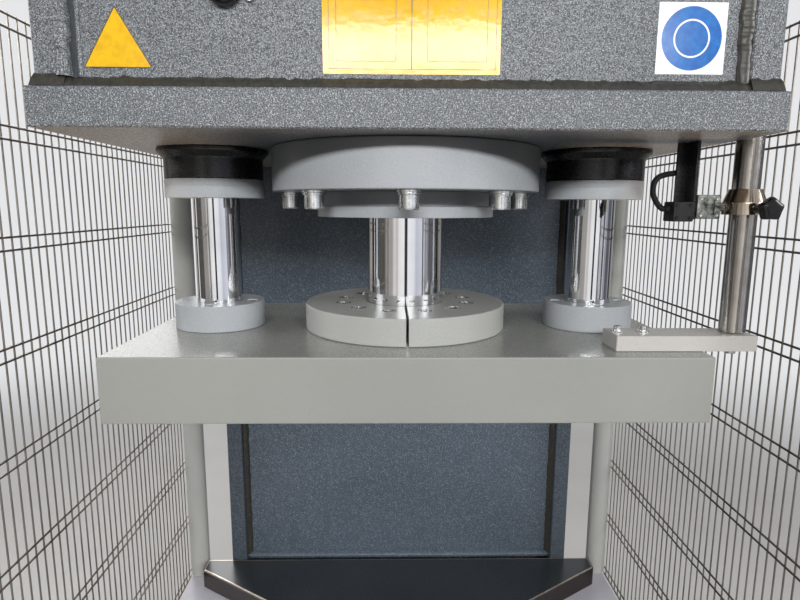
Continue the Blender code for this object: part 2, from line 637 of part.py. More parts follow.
def make_cylinder(ram):
    """Barrel, flange with its bolts, gland, bush and seals, and the moving rod and piston."""
    axis = (0, RAM_Y, 0)
    flange_top = HEAD_BASE - SEAT_GAP
    flange_base = flange_top - FLANGE_THICK
    bush_outer = ROD_RADIUS + RUN_GAP + ROD_BUSH_WALL
    bush_top = flange_top - ROD_BUSH_DROP
    bush_base = bush_top - ROD_BUSH_LENGTH
    rod_way = ROD_RADIUS + ROD_WAY
    flange = turned("cylinder_flange", [
        (BARREL_BORE, flange_top), (FLANGE_RADIUS - PLATE_EDGE, flange_top),
        (FLANGE_RADIUS, flange_top - PLATE_EDGE), (FLANGE_RADIUS, flange_base + PLATE_EDGE),
        (FLANGE_RADIUS - PLATE_EDGE, flange_base), (rod_way, flange_base),
        (rod_way, bush_base - SEAT_GAP), (bush_outer + SEAT_GAP, bush_base - SEAT_GAP),
        (bush_outer + SEAT_GAP, bush_top), (BARREL_BORE, bush_top)],
        HAMMERTONE, axis, ring=True, steps=LARGE_STEPS)
    spots = on_circle(FLANGE_BOLTS, FLANGE_RADIUS * FLANGE_BOLT_RATIO, -90, (0, RAM_Y))
    washer_base = flange_base - 2 * WASHER_THICK
    join(flange, bars_tool("flange_washers", WASHER_RADIUS, washer_base,
                           flange_base + TOOL_OVERLAP, spots, SMALL_STEPS))
    join(flange, bars_tool("flange_bolt_heads", BOLT_HEAD_RADIUS,
                           washer_base - BOLT_HEAD_HEIGHT, washer_base + TOOL_OVERLAP,
                           spots, SMALL_STEPS))

    neck_top = flange_base - SEAT_GAP
    neck_base = neck_top - GLAND_NECK_HEIGHT
    disc_base = neck_base - GLAND_DISC_THICK
    seal_outer = ROD_RADIUS + RUN_GAP + ROD_SEAL_WALL
    seal_base = disc_base + ROD_SEAL_LIFT
    turned("gland_ring", [
        (rod_way, neck_top), (GLAND_NECK_RADIUS, neck_top), (GLAND_NECK_RADIUS, neck_base),
        (GLAND_RADIUS - GLAND_EDGE, neck_base), (GLAND_RADIUS, neck_base - GLAND_EDGE),
        (GLAND_RADIUS, disc_base + GLAND_EDGE), (GLAND_RADIUS - GLAND_EDGE, disc_base),
        (rod_way, disc_base), (rod_way, seal_base - SEAT_GAP),
        (seal_outer + SEAT_GAP, seal_base - SEAT_GAP),
        (seal_outer + SEAT_GAP, seal_base + ROD_SEAL_HEIGHT + SEAT_GAP),
        (rod_way, seal_base + ROD_SEAL_HEIGHT + SEAT_GAP)],
        PALE_ENAMEL, axis, ring=True, steps=LARGE_STEPS)
    turned("rod_seal", ring_profile(ROD_RADIUS + RUN_GAP, seal_outer, seal_base,
                                    seal_base + ROD_SEAL_HEIGHT), SEAL_RUBBER, axis, ring=True)
    turned("rod_bush", ring_profile(ROD_RADIUS + RUN_GAP, bush_outer, bush_base, bush_top),
           BRONZE, axis, ring=True)

    barrel_base = HEAD_BASE
    barrel_top = barrel_base + BARREL_LENGTH
    turned("cylinder_barrel", ring_profile(BARREL_BORE, BARREL_RADIUS, barrel_base, barrel_top),
           UNIT_PAINT, axis, ring=True)
    spigot = BARREL_BORE - SEAT_GAP
    cap_top = barrel_top + CAP_THICK
    turned("cylinder_cap", [
        (0, cap_top), (BARREL_RADIUS - CAP_EDGE, cap_top),
        (BARREL_RADIUS, cap_top - CAP_EDGE), (BARREL_RADIUS, barrel_top + SEAT_GAP),
        (spigot, barrel_top + SEAT_GAP), (spigot, barrel_top - CAP_SPIGOT),
        (0, barrel_top - CAP_SPIGOT)], UNIT_PAINT, axis)

    piston_top = barrel_top - CAP_SPIGOT - PISTON_TOP_CLEARANCE
    piston_base = piston_top - PISTON_LENGTH
    piston_radius = BARREL_BORE - RUN_GAP
    groove = piston_radius - PISTON_SEAL_WALL
    seal_low = (piston_top + piston_base - PISTON_SEAL_HEIGHT) / 2
    seal_high = seal_low + PISTON_SEAL_HEIGHT
    ride(turned("piston", [
        (0, piston_top), (piston_radius - PISTON_EDGE, piston_top),
        (piston_radius, piston_top - PISTON_EDGE),
        (piston_radius, seal_high + SEAT_GAP), (groove, seal_high + SEAT_GAP),
        (groove, seal_low - SEAT_GAP), (piston_radius, seal_low - SEAT_GAP),
        (piston_radius, piston_base + PISTON_EDGE), (piston_radius - PISTON_EDGE, piston_base),
        (0, piston_base)], GROUND_STEEL, axis), ram)
    ride(turned("piston_seal", ring_profile(groove + SEAT_GAP, piston_radius, seal_low, seal_high),
                SEAL_RUBBER, axis, ring=True), ram)
    ride(turned("ram_rod", disc_profile(ROD_RADIUS, PLATEN_TOP + SEAT_GAP,
                                        piston_base - SEAT_GAP, ROD_EDGE), HARD_CHROME, axis), ram)


def make_platen(ram):
    """The moving platen and the split collar that clamps the rod to it."""
    half = PLATEN_WIDTH / 2
    platen = box("platen", (-half, PLATEN_FRONT, PLATEN_BASE),
                 (half, PLATEN_FRONT + PLATEN_DEPTH, PLATEN_TOP), PALE_ENAMEL, PLATEN_EDGE, 2)
    ride(platen, ram)

    base = PLATEN_TOP + SEAT_GAP
    top = base + COLLAR_HEIGHT
    circle = COLLAR_RADIUS * COLLAR_SCREW_RATIO
    spots = on_circle(COLLAR_SCREWS, circle, 15, (0, RAM_Y))
    reach = COLLAR_RADIUS + TOOL_PAST
    for side, name in ((-1, "collar_half_left"), (1, "collar_half_right")):
        half_collar = turned(name, ring_profile(ROD_RADIUS + SEAT_GAP, COLLAR_RADIUS, base, top,
                                                COLLAR_EDGE),
                             PALE_ENAMEL, (0, RAM_Y, 0), ring=True, steps=LARGE_STEPS)
        edge = side * COLLAR_SPLIT / 2
        away = -side * reach
        low, high = sorted((edge, away))
        cut(half_collar, box(name + "_split", (low, RAM_Y - reach, base - TOOL_PAST),
                             (high, RAM_Y + reach, top + TOOL_PAST), None, group=CUTTERS))
        own = [spot for spot in spots if spot[0] * side > 0]
        cut(half_collar, bars_tool(name + "_bores", COUNTERBORE_RADIUS, top - COUNTERBORE_DEPTH,
                                   top + TOOL_PAST, own, SMALL_STEPS))
        ride(half_collar, ram)


def make_guides(ram):
    """Guide columns on their base rings, and the fixed housings, rings and bushes above."""
    for side, end in ((-1, "left"), (1, "right")):
        axis = (side * GUIDE_SPACING, RAM_Y, 0)
        spots = on_circle(RING_SCREWS, RING_SCREW_CIRCLE, 0, axis[:2])
        base = PLATEN_TOP + SEAT_GAP
        ride(turned("guide_column_" + end, disc_profile(COLUMN_RADIUS, base,
                                                        PLATEN_TOP + COLUMN_HEIGHT, COLUMN_EDGE),
                    HARD_CHROME, axis), ram)
        base_ring = turned("base_ring_" + end,
                           ring_profile(COLUMN_RADIUS + SEAT_GAP, BASE_RING_RADIUS, base,
                                        base + BASE_RING_HEIGHT, COLUMN_EDGE),
                           PALE_ENAMEL, axis, ring=True)
        cut(base_ring, bars_tool("base_ring_bores_" + end, COUNTERBORE_RADIUS,
                                 base + BASE_RING_HEIGHT - COUNTERBORE_DEPTH,
                                 base + BASE_RING_HEIGHT + TOOL_PAST, spots, SMALL_STEPS))
        ride(base_ring, ram)

        bush_inner = COLUMN_RADIUS + RUN_GAP
        bush_outer = bush_inner + BUSH_WALL
        housing_top = HEAD_BASE - SEAT_GAP
        ring_top = HEAD_BASE - HOUSING_HEIGHT
        ring_base = ring_top - GUIDE_RING_THICK
        housing_base = ring_top + SEAT_GAP
        housing_radius = GUIDE_RING_RADIUS - HOUSING_SETBACK
        lip = housing_top - HOUSING_TOP_THICK
        turned("guide_housing_" + end, [
            (bush_outer + SEAT_GAP, housing_top), (HOUSING_TOP_RADIUS, housing_top),
            (HOUSING_TOP_RADIUS, lip), (housing_radius, lip - HOUSING_TAPER),
            (housing_radius, housing_base), (bush_outer + SEAT_GAP, housing_base)],
            BLACK_PAINT, axis, ring=True)
        turned("guide_ring_" + end, ring_profile(COLUMN_RADIUS + GUIDE_RING_WAY,
                                                 GUIDE_RING_RADIUS, ring_base, ring_top,
                                                 GUIDE_RING_EDGE),
               PALE_ENAMEL, axis, ring=True)
        turned("guide_bush_" + end, ring_profile(bush_inner, bush_outer, housing_base,
                                                 HEAD_PLATE_TOP + BUSH_ABOVE_PLATE),
               BRONZE, axis, ring=True)


def make_trip_rod(ram):
    """The bracket on the platen, the bright rod on it and the sliding trip collar."""
    base = PLATEN_TOP + SEAT_GAP
    top = base + BRACKET_HEIGHT
    front = PLATEN_FRONT + BRACKET_SETBACK
    ride(box("stroke_bracket", (BRACKET_START, front, base), (BRACKET_END, front + BRACKET_DEPTH,
                                                              top), PALE_ENAMEL, BRACKET_EDGE), ram)
    rod_base = top + SEAT_GAP
    ride(turned("stroke_rod", disc_profile(TRIP_ROD_RADIUS, rod_base, rod_base + TRIP_ROD_LENGTH,
                                           COLUMN_EDGE), GROUND_STEEL, (TRIP_ROD_X, TRIP_Y, 0)), ram)

    low = TRIP_BASE
    body_top = low + TRIP_BODY
    cone_top = body_top + TRIP_CONE
    slide = carrier("trip_collar_slide", (TRIP_ROD_X, TRIP_Y, low), ram)
    bore = TRIP_ROD_RADIUS + RUN_GAP
    collar = turned("trip_collar", [
        (bore, cone_top), (TRIP_CONE_RADIUS, cone_top), (TRIP_RADIUS, body_top),
        (TRIP_RADIUS, low + TRIP_EDGE), (TRIP_RADIUS - TRIP_EDGE, low), (bore, low)],
        GROUND_STEEL, (TRIP_ROD_X, TRIP_Y, 0), ring=True)
    knob_z = low + TRIP_BODY / 2
    cut(collar, round_tool("stud_hole", KNOB_STUD_RADIUS + RUN_GAP,
                           (TRIP_ROD_X, TRIP_Y - 2 * TRIP_RADIUS, knob_z),
                           (TRIP_ROD_X, TRIP_Y, knob_z)))
    ride(collar, slide)
    make_clamp_knob(slide, knob_z)


def make_clamp_knob(slide, height):
    """A lobed hand knob whose stud clamps the trip collar to the rod."""
    hub_start = TRIP_RADIUS + SEAT_GAP
    hub_end = hub_start + KNOB_HUB_LENGTH
    points = []
    count = KNOB_LOBES * 8
    for index in range(count):
        angle = math.tau * index / count
        radius = KNOB_RADIUS + KNOB_LOBE_DEPTH * math.cos(KNOB_LOBES * angle)
        points.append((radius * math.cos(angle), radius * math.sin(angle)))
    middle = TRIP_Y - hub_end - KNOB_LENGTH / 2
    knob = outline_plate("clamp_knob", points, KNOB_LENGTH, BLACK_PLASTIC,
                         (TRIP_ROD_X, middle, height), (math.pi / 2, 0, 0))
    add_bevel(knob, KNOB_EDGE, 1, 50)
    join(knob, round_tool("knob_hub", KNOB_HUB_RADIUS,
                          (TRIP_ROD_X, TRIP_Y - hub_start, height),
                          (TRIP_ROD_X, TRIP_Y - hub_end - KNOB_EDGE, height)))
    join(knob, round_tool("knob_stud", KNOB_STUD_RADIUS,
                          (TRIP_ROD_X, TRIP_Y - TRIP_ROD_RADIUS - SEAT_GAP, height),
                          (TRIP_ROD_X, TRIP_Y - hub_end, height)))
    turn = carrier("clamp_knob_turn", (TRIP_ROD_X, TRIP_Y, height), slide)
    ride(knob, turn)


def make_switch():
    """Strap under the head with the limit switch, its roller plunger, gland and cable."""
    tip = TRIP_ROD_X - TRIP_RADIUS - ROLLER_TOUCH
    roller_x = tip - ROLLER_RADIUS
    yoke_back = roller_x - ROLLER_RADIUS - ROLLER_TOUCH - YOKE_SHEET
    pocket_floor = yoke_back - PLUNGER_TRAVEL - SEAT_GAP
    head_face = roller_x - ROLLER_RADIUS + ROLLER_WRAP
    head_back = head_face - SWITCH_HEAD_LENGTH
    strap_right = head_back - SEAT_GAP
    body_right = strap_right - STRAP_SHEET - SEAT_GAP
    body_left = body_right - SWITCH_BODY_WIDTH
    body_base = SWITCH_BASE
    body_top = body_base + SWITCH_BODY_HEIGHT
    body_front = TRIP_Y - SWITCH_BODY_DEPTH / 2
    body_back = TRIP_Y + SWITCH_BODY_DEPTH / 2

    web_front = body_back + SEAT_GAP
    web_back = web_front + STRAP_SHEET
    strap_left = strap_right - STRAP_WIDTH
    flange_front = web_back - STRAP_FLANGE
    strap_base = body_base + STRAP_LIFT
    strap_top = HEAD_BASE - SEAT_GAP
    corner = strap_right - STRAP_SHEET
    outline = [(strap_left, web_back), (strap_left, web_front), (corner, web_front),
               (corner, flange_front), (strap_right, flange_front), (strap_right, web_back)]
    outline_plate("switch_strap", outline, strap_top - strap_base, BLACK_PAINT,
                  (0, 0, (strap_top + strap_base) / 2))
    box("switch_body", (body_left, body_front, body_base), (body_right, body_back, body_top),
        BLACK_PLASTIC, SWITCH_BODY_EDGE)

    axis_z = body_base + SWITCH_AXIS_LIFT
    head_low = axis_z - SWITCH_HEAD_HEIGHT / 2
    half_depth = SWITCH_HEAD_DEPTH / 2
    cheek = ROLLER_WIDTH / 2 + SEAT_GAP
    outer = cheek + YOKE_SHEET
    past = ROLLER_RADIUS
    head = box("switch_head", (head_back, TRIP_Y - half_depth, head_low),
               (head_face, TRIP_Y + half_depth, head_low + SWITCH_HEAD_HEIGHT), CAST_ZINC)
    add_bevel(head, SWITCH_HEAD_EDGE)
    wide, tall = outer + POCKET_CLEARANCE, ROLLER_RADIUS + POCKET_CLEARANCE
    cut(head, box("roller_pocket", (pocket_floor, TRIP_Y - wide, axis_z - tall),
                  (head_face + past, TRIP_Y + wide, axis_z + tall), None, group=CUTTERS))
    bore_end = head_back + YOKE_SHEET
    cut(head, round_tool("plunger_bore", PLUNGER_RADIUS + RUN_GAP, (bore_end, TRIP_Y, axis_z),
                         (pocket_floor + past, TRIP_Y, axis_z)))

    push = carrier("plunger_slide", (roller_x, TRIP_Y, axis_z))
    yoke = box("switch_plunger", (yoke_back, TRIP_Y - outer, axis_z - YOKE_HALF_HEIGHT),
               (roller_x + YOKE_LIP, TRIP_Y + outer, axis_z + YOKE_HALF_HEIGHT), ZINC)
    cut(yoke, box("yoke_slot", (yoke_back + YOKE_SHEET, TRIP_Y - cheek, axis_z - past),
                  (roller_x + past, TRIP_Y + cheek, axis_z + past), None, group=CUTTERS))
    pin_start = bore_end + SEAT_GAP + PLUNGER_TRAVEL
    join(yoke, round_tool("plunger_pin", PLUNGER_RADIUS, (pin_start, TRIP_Y, axis_z),
                          (yoke_back + YOKE_SHEET / 2, TRIP_Y, axis_z)))
    pin_half = outer - YOKE_SHEET / 4
    join(yoke, round_tool("roller_axle", ROLLER_AXLE, (roller_x, TRIP_Y - pin_half, axis_z),
                          (roller_x, TRIP_Y + pin_half, axis_z)))
    ride(yoke, push)
    spin = carrier("roller_spin", (roller_x, TRIP_Y, axis_z), push)
    half_width = ROLLER_WIDTH / 2
    roller = turned("switch_roller", ring_profile(ROLLER_AXLE + RUN_GAP, ROLLER_RADIUS,
                                                  -half_width, half_width), GROUND_STEEL,
                    (roller_x, TRIP_Y, axis_z), ring=True, steps=FINE_STEPS,
                    rotation=(math.pi / 2, 0, 0))
    ride(roller, spin)

    gland_start = body_left - SEAT_GAP
    gland_z = body_base + GLAND_LIFT
    turned("cable_gland", disc_profile(GLAND_NUT_RADIUS, 0, GLAND_NUT_LENGTH, GLAND_NUT_EDGE),
           BLACK_PLASTIC, (gland_start, TRIP_Y, gland_z), steps=FINE_STEPS,
           rotation=(0, -math.pi / 2, 0))
    gland_end = gland_start - GLAND_NUT_LENGTH
    make_cable(gland_end, gland_z, strap_left, web_back)


def make_cable(start_x, start_z, strap_left, strap_back):
    """The switch cable: out of the gland, round a loop and up behind the strap."""
    behind = strap_back + CABLE_RADIUS + CABLE_STANDOFF
    start = Vector((start_x - SEAT_GAP, TRIP_Y, start_z))
    route = [
        start - Vector((CABLE_STUB, 0, 0)),
        Vector((start_x - 0.0090, TRIP_Y, start_z + 0.0044)),
        Vector((start_x - 0.0148, TRIP_Y + 0.001, start_z + 0.0137)),
        Vector((start_x - 0.0165, TRIP_Y + 0.004, start_z + 0.0230)),
        Vector((start_x - 0.0134, TRIP_Y + 0.009, start_z + 0.0350)),
        Vector((start_x - 0.0045, TRIP_Y + 0.016, start_z + 0.0435)),
        Vector((start_x + 0.0100, behind - 0.002, start_z + 0.0480)),
        Vector((strap_left + 0.006, behind, start_z + 0.0515)),
        Vector((strap_left + 0.013, behind, start_z + 0.0640)),
        Vector((strap_left + 0.0135, behind, HEAD_BASE - SEAT_GAP)),
    ]
    points = [start] + smooth_route(route, 3)
    tube("switch_cable", points, CABLE_RADIUS, BLACK_PLASTIC, 2)


def smooth_route(route, parts):
    """Points along a curve that passes through each point of a route."""
    padded = [2 * route[0] - route[1]] + route + [2 * route[-1] - route[-2]]
    points = []
    for index in range(len(route) - 1):
        a, b, c, d = padded[index:index + 4]
        for step in range(parts):
            t = step / parts
            points.append(0.5 * (2 * b + (c - a) * t + (2 * a - 5 * b + 4 * c - d) * t * t
                                 + (3 * b - a - 3 * c + d) * t * t * t))
    points.append(route[-1])
    return points


def make_front_knob():
    """The rounded black knob on the head's front."""
    height = HEAD_PLATE_TOP + FRONT_KNOB_LIFT
    face = FRONT_PLATE_FACE - SEAT_GAP
    turn = carrier("front_knob_turn", (FRONT_KNOB_X, face, height))
    edge = FRONT_KNOB_EDGE
    top = FRONT_KNOB_LENGTH
    profile = [(0, top)]
    for step in range(5):
        angle = math.pi / 2 * (1 - step / 4)
        profile.append((FRONT_KNOB_RADIUS - edge + edge * math.cos(angle),
                        top - edge + edge * math.sin(angle)))
    profile += [(FRONT_KNOB_RADIUS, FRONT_KNOB_NECK), (FRONT_KNOB_RADIUS - FRONT_KNOB_NECK, 0), (0, 0)]
    knob = turned("front_knob", profile, BLACK_PLASTIC, (FRONT_KNOB_X, face, height),
                  steps=FINE_STEPS, rotation=(math.pi / 2, 0, 0))
    ride(knob, turn)


def make_guards():
    """Tubular posts on the deck and a mesh panel on each side."""
    rear_y = THROAT_BACK + REAR_POST_SETBACK + POST_RADIUS
    front_y = DECK_FRONT + FRONT_POST_INSET
    base = DECK_TOP + SEAT_GAP
    for side, end in ((-1, "left"), (1, "right")):
        for place_name, y in (("rear", rear_y), ("front", front_y)):
            turned("guard_post_" + place_name + "_" + end,
                   disc_profile(POST_RADIUS, base, base + POST_HEIGHT, POST_EDGE), PALE_ENAMEL,
                   (side * POST_X, y, 0), steps=FINE_STEPS)
        panel_x = side * (POST_X + POST_RADIUS + SEAT_GAP + WIRE_THICK / 2)
        make_panel("guard_mesh_" + end, panel_x, front_y, rear_y, base - WIRE_DROP)


def make_panel(name, x, start, end, base):
    """A welded mesh panel: uprights crossed by flat bands, one for each pair of wires."""
    top = base + WIRE_PAIR_WIDTH + (WIRE_PAIRS - 1) * WIRE_PAIR_PITCH
    columns = band_edges(start, end - WIRE_THICK, WIRE_UPRIGHTS, WIRE_THICK)
    rows = band_edges(base, top - WIRE_PAIR_WIDTH, WIRE_PAIRS, WIRE_PAIR_WIDTH)
    mesh = bpy.data.meshes.new(name)
    bm = bmesh.new()
    bmesh.ops.create_grid(bm, x_segments=len(columns) - 1, y_segments=len(rows) - 1, size=0.5)
    gaps = [face for face in bm.faces if is_gap(face, len(columns) - 1, len(rows) - 1)]
    for vert in bm.verts:
        column = columns[round((vert.co.x + 0.5) * (len(columns) - 1))]
        row = rows[round((vert.co.y + 0.5) * (len(rows) - 1))]
        vert.co = (x, column, row)
    bmesh.ops.delete(bm, geom=gaps, context="FACES")
    bm.to_mesh(mesh)
    bm.free()
    panel = place(bpy.data.objects.new(name, mesh), name, BARE_WIRE)
    wall = panel.modifiers.new("wire", "SOLIDIFY")
    wall.thickness = WIRE_THICK
    wall.offset = 0
    return panel


def band_edges(first, last, count, width):
    """Both edges of each band, the bands evenly spaced from first to last."""
    edges = []
    for index in range(count):
        low = first + (last - first) * index / (count - 1)
        edges += [low, low + width]
    return edges


def is_gap(face, columns, rows):
    """True for a cell of the unit grid that lies between two bands both ways."""
    centre = face.calc_center_median()
    column = int((centre.x + 0.5) * columns)
    row = int((centre.y + 0.5) * rows)
    return column % 2 == 1 and row % 2 == 1


def make_power_unit():
    """Oil tank on the head, with motor, pump and valve block, and the pipe to the cylinder."""
    base = ROOF_TOP + SEAT_GAP
    back = FRAME_BACK - FRAME_CHAMFER
    front = back - TANK_DEPTH
    half = TANK_WIDTH / 2
    tank_top = base + TANK_HEIGHT
    tank = box("oil_tank", (-half, front, base), (half, back, tank_top), UNIT_PAINT, TANK_EDGE, 2)
    cut(tank, box("tank_hollow", (-half + TANK_WALL, front + TANK_WALL, base + TANK_WALL),
                  (half - TANK_WALL, back - TANK_WALL, tank_top + TOOL_PAST), None, group=CUTTERS))
    lid_base = tank_top + SEAT_GAP
    lid_top = lid_base + TANK_LID_THICK
    box("tank_lid", (-half, front, lid_base), (half, back, lid_top), UNIT_PAINT, TANK_LID_EDGE)

    motor_z = lid_top + SEAT_GAP + MOTOR_LIFT + MOTOR_RADIUS + FIN_HEIGHT
    motor_y = (front + back) / 2
    motor_start = -half + MOTOR_INSET
    motor_end = motor_start + MOTOR_LENGTH
    outline = []
    for index in range(MOTOR_FINS * 4):
        angle = math.tau * (index + 0.5) / (MOTOR_FINS * 4)
        raised = FIN_HEIGHT if index % 4 in (1, 2) else 0.0
        radius = MOTOR_RADIUS + raised
        outline.append((radius * math.cos(angle), radius * math.sin(angle)))
    turn = (math.pi / 2, 0, math.pi / 2)
    motor = outline_plate("pump_motor", outline, MOTOR_LENGTH, UNIT_PAINT,
                          ((motor_start + motor_end) / 2, motor_y, motor_z), turn)
    foot_low = lid_top + SEAT_GAP
    foot_top = motor_z - MOTOR_RADIUS + MOTOR_FOOT_DEPTH
    join(motor, box("motor_foot", (motor_start + MOTOR_FOOT_INSET, motor_y - MOTOR_FOOT_HALF, foot_low),
                    (motor_end - MOTOR_FOOT_INSET, motor_y + MOTOR_FOOT_HALF, foot_top), None,
                    group=CUTTERS))
    bell_end = motor_end + SEAT_GAP + BELL_LENGTH
    turned("pump_bell", [
        (0, BELL_LENGTH), (PUMP_RADIUS + BELL_NOSE, BELL_LENGTH), (BELL_RADIUS, BELL_RIM),
        (BELL_RADIUS, 0), (0, 0)], CAST_ZINC, (motor_end + SEAT_GAP, motor_y, motor_z),
        steps=FINE_STEPS, rotation=(0, math.pi / 2, 0))
    turned("pump_body", disc_profile(PUMP_RADIUS, 0, PUMP_LENGTH, PUMP_EDGE), GROUND_STEEL,
           (bell_end + SEAT_GAP, motor_y, motor_z), steps=FINE_STEPS, rotation=(0, math.pi / 2, 0))

    roof_base = ROOF_TOP + SEAT_GAP
    valve_y = (SIDE_FRONT + front) / 2
    valve = box("valve_block", (-VALVE_WIDTH / 2, valve_y - VALVE_DEPTH / 2, roof_base),
                (VALVE_WIDTH / 2, valve_y + VALVE_DEPTH / 2, roof_base + VALVE_HEIGHT), ZINC)
    reach = VALVE_WIDTH / 2 + SOLENOID_LENGTH
    coil_z = roof_base + VALVE_HEIGHT / 2
    join(valve, round_tool("valve_coils", SOLENOID_RADIUS, (-reach, valve_y, coil_z),
                           (reach, valve_y, coil_z)))
    pump_x = bell_end + SEAT_GAP + PUMP_LENGTH / 2
    port_y = motor_y - PUMP_RADIUS - SEAT_GAP
    port_z = roof_base + VALVE_HEIGHT + SEAT_GAP
    start = Vector((pump_x, port_y, motor_z))
    out = start - Vector((0, PIPE_LEAD, 0))
    end = Vector((0, valve_y, port_z))
    above = end + Vector((0, 0, PIPE_RISE))
    ahead = Vector((pump_x, front - 2 * PIPE_LEAD, motor_z))
    over = Vector((0, valve_y, motor_z))
    path = [start] + bezier(out, ahead, over, above, PIPE_POINTS) + [end]
    tube("pressure_pipe", path, PIPE_RADIUS, ZINC, 2)


def bezier(first, lead, pull, last, count):
    """Points along a cubic curve with two end points and two control points."""
    points = []
    for index in range(count + 1):
        t = index / count
        u = 1 - t
        points.append(u ** 3 * first + 3 * u * u * t * lead + 3 * u * t * t * pull + t ** 3 * last)
    return points


def build_press():
    ram = carrier("ram_slide", (0, RAM_Y, PLATEN_TOP))
    make_frame()
    make_table()
    make_head()
    make_cylinder(ram)
    make_platen(ram)
    make_guides(ram)
    make_trip_rod(ram)
    make_switch()
    make_front_knob()
    make_guards()
    make_power_unit()


build_press()
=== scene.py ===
import math

import bmesh
import bpy
import numpy as np
from mathutils import Matrix, Vector


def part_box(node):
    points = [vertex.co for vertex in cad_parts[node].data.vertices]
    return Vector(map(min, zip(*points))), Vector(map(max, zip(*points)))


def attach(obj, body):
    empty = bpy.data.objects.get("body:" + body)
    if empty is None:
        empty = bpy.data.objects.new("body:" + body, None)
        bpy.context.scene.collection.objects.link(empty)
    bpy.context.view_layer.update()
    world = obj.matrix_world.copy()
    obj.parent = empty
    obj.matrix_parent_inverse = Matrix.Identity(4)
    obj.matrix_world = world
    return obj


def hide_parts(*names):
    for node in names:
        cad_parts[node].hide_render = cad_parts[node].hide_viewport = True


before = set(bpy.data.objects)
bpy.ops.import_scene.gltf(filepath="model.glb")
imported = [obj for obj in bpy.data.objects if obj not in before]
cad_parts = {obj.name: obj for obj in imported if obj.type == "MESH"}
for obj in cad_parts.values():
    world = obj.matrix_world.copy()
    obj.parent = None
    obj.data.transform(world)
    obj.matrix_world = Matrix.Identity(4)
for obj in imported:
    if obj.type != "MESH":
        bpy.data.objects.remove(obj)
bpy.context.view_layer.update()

print("frame loaded")

# camera where the operator stands, at eye height: metres, degrees, and the focal length in pixels
camera = {"place": (-0.0246, -1.1398, 1.6629), "pitchDown": 9.334, "turnRight": 0.994, "roll": 0.243,
          "focalPixels": 571.3, "imageWidth": 800, "sensor": 36.0, "nearest": 0.02, "farthest": 60}


def setCamera():
    pitch, turn, roll = (math.radians(camera[key]) for key in ("pitchDown", "turnRight", "roll"))
    ahead = (math.sin(turn) * math.cos(pitch), math.cos(turn) * math.cos(pitch), -math.sin(pitch))
    forward = Vector(ahead)
    level = Vector((math.cos(turn), -math.sin(turn), 0.0))
    upright = level.cross(forward)
    right = math.cos(roll) * level + math.sin(roll) * upright
    up = math.cos(roll) * upright - math.sin(roll) * level
    data = bpy.data.cameras.new("operatorEye")
    data.sensor_width = camera["sensor"]
    data.lens = camera["sensor"] * camera["focalPixels"] / camera["imageWidth"]
    data.clip_start = camera["nearest"]
    data.clip_end = camera["farthest"]
    eye = bpy.data.objects.new("operatorEye", data)
    turned = Matrix((right, up, -forward)).transposed().to_4x4()
    eye.matrix_world = Matrix.Translation(camera["place"]) @ turned
    bpy.context.scene.collection.objects.link(eye)
    bpy.context.scene.camera = eye


setCamera()
print("camera set")

# colours and nodes


def hexLinear(code):
    # sRGB hex to linear light
    parts = np.array([int(code[i:i + 2], 16) for i in (1, 3, 5)]) / 255
    linear = np.where(parts <= 0.04045, parts / 12.92, ((parts + 0.055) / 1.055) ** 2.4)
    return (*linear.tolist(), 1.0)


def addNode(tree, kind, settings=None, links=None):
    # one node: settings are its properties or socket values, links join another node's output to a socket
    node = tree.nodes.new(kind)
    for key, value in (settings or {}).items():
        if isinstance(key, int) or key in node.inputs.keys():
            node.inputs[key].default_value = value
        else:
            setattr(node, key, value)
    for key, source in (links or {}).items():
        tree.links.new(source, node.inputs[key])
    return node


def newMaterial(name):
    mat = bpy.data.materials.new(name)
    mat.use_nodes = True
    tree = mat.node_tree
    return mat, tree, tree.nodes["Principled BSDF"]


def setRamp(node, stops):
    ramp = node.color_ramp
    while len(ramp.elements) > len(stops):
        ramp.elements.remove(ramp.elements[-1])
    while len(ramp.elements) < len(stops):
        ramp.elements.new(0.5)
    for element, (place, code) in zip(ramp.elements, stops):
        element.position = place
        element.color = hexLinear(code) if isinstance(code, str) else (code, code, code, 1)


def perMetre(mm):
    return 1000.0 / mm


def paintedShadeShare(tree, place, paintedShade):
    # 1 where a point lies in the region of painted shade and 0 elsewhere: the product of one test for each
    # limit that is given
    split = addNode(tree, "ShaderNodeSeparateXYZ", {}, {"Vector": place})
    share = addNode(tree, "ShaderNodeMath", {"operation": "LESS_THAN", 1: paintedShade["underZ"]},
                    {0: split.outputs["Z"]}).outputs[0]
    tests = []
    if "insideX" in paintedShade:
        off = addNode(tree, "ShaderNodeMath", {"operation": "ABSOLUTE"}, {0: split.outputs["X"]})
        tests.append(addNode(tree, "ShaderNodeMath", {"operation": "LESS_THAN", 1: paintedShade["insideX"]},
                             {0: off.outputs[0]}).outputs[0])
    if "fromY" in paintedShade:
        limits = {"From Min": paintedShade["fromY"][0], "From Max": paintedShade["fromY"][1]}
        past = addNode(tree, "ShaderNodeMapRange", limits, {"Value": split.outputs["Y"]})
        tests.append(past.outputs["Result"])
    for test in tests:
        share = addNode(tree, "ShaderNodeMath", {"operation": "MULTIPLY"}, {0: share, 1: test}).outputs[0]
    return share


def finishShader(tree, shader, look, tint, height):
    # base colour from tint, roughness between two values and bump, both from the same height
    rough = {"From Min": 0.3, "From Max": 0.7, "To Min": look["roughness"][0], "To Max": look["roughness"][1]}
    gloss = addNode(tree, "ShaderNodeMapRange", rough, {"Value": height})
    bump = addNode(tree, "ShaderNodeBump", {"Strength": look["bump"], "Distance": look["bumpMm"] / 1000},
                   {"Height": height})
    tree.links.new(tint, shader.inputs["Base Color"])
    tree.links.new(gloss.outputs["Result"], shader.inputs["Roughness"])
    tree.links.new(bump.outputs["Normal"], shader.inputs["Normal"])


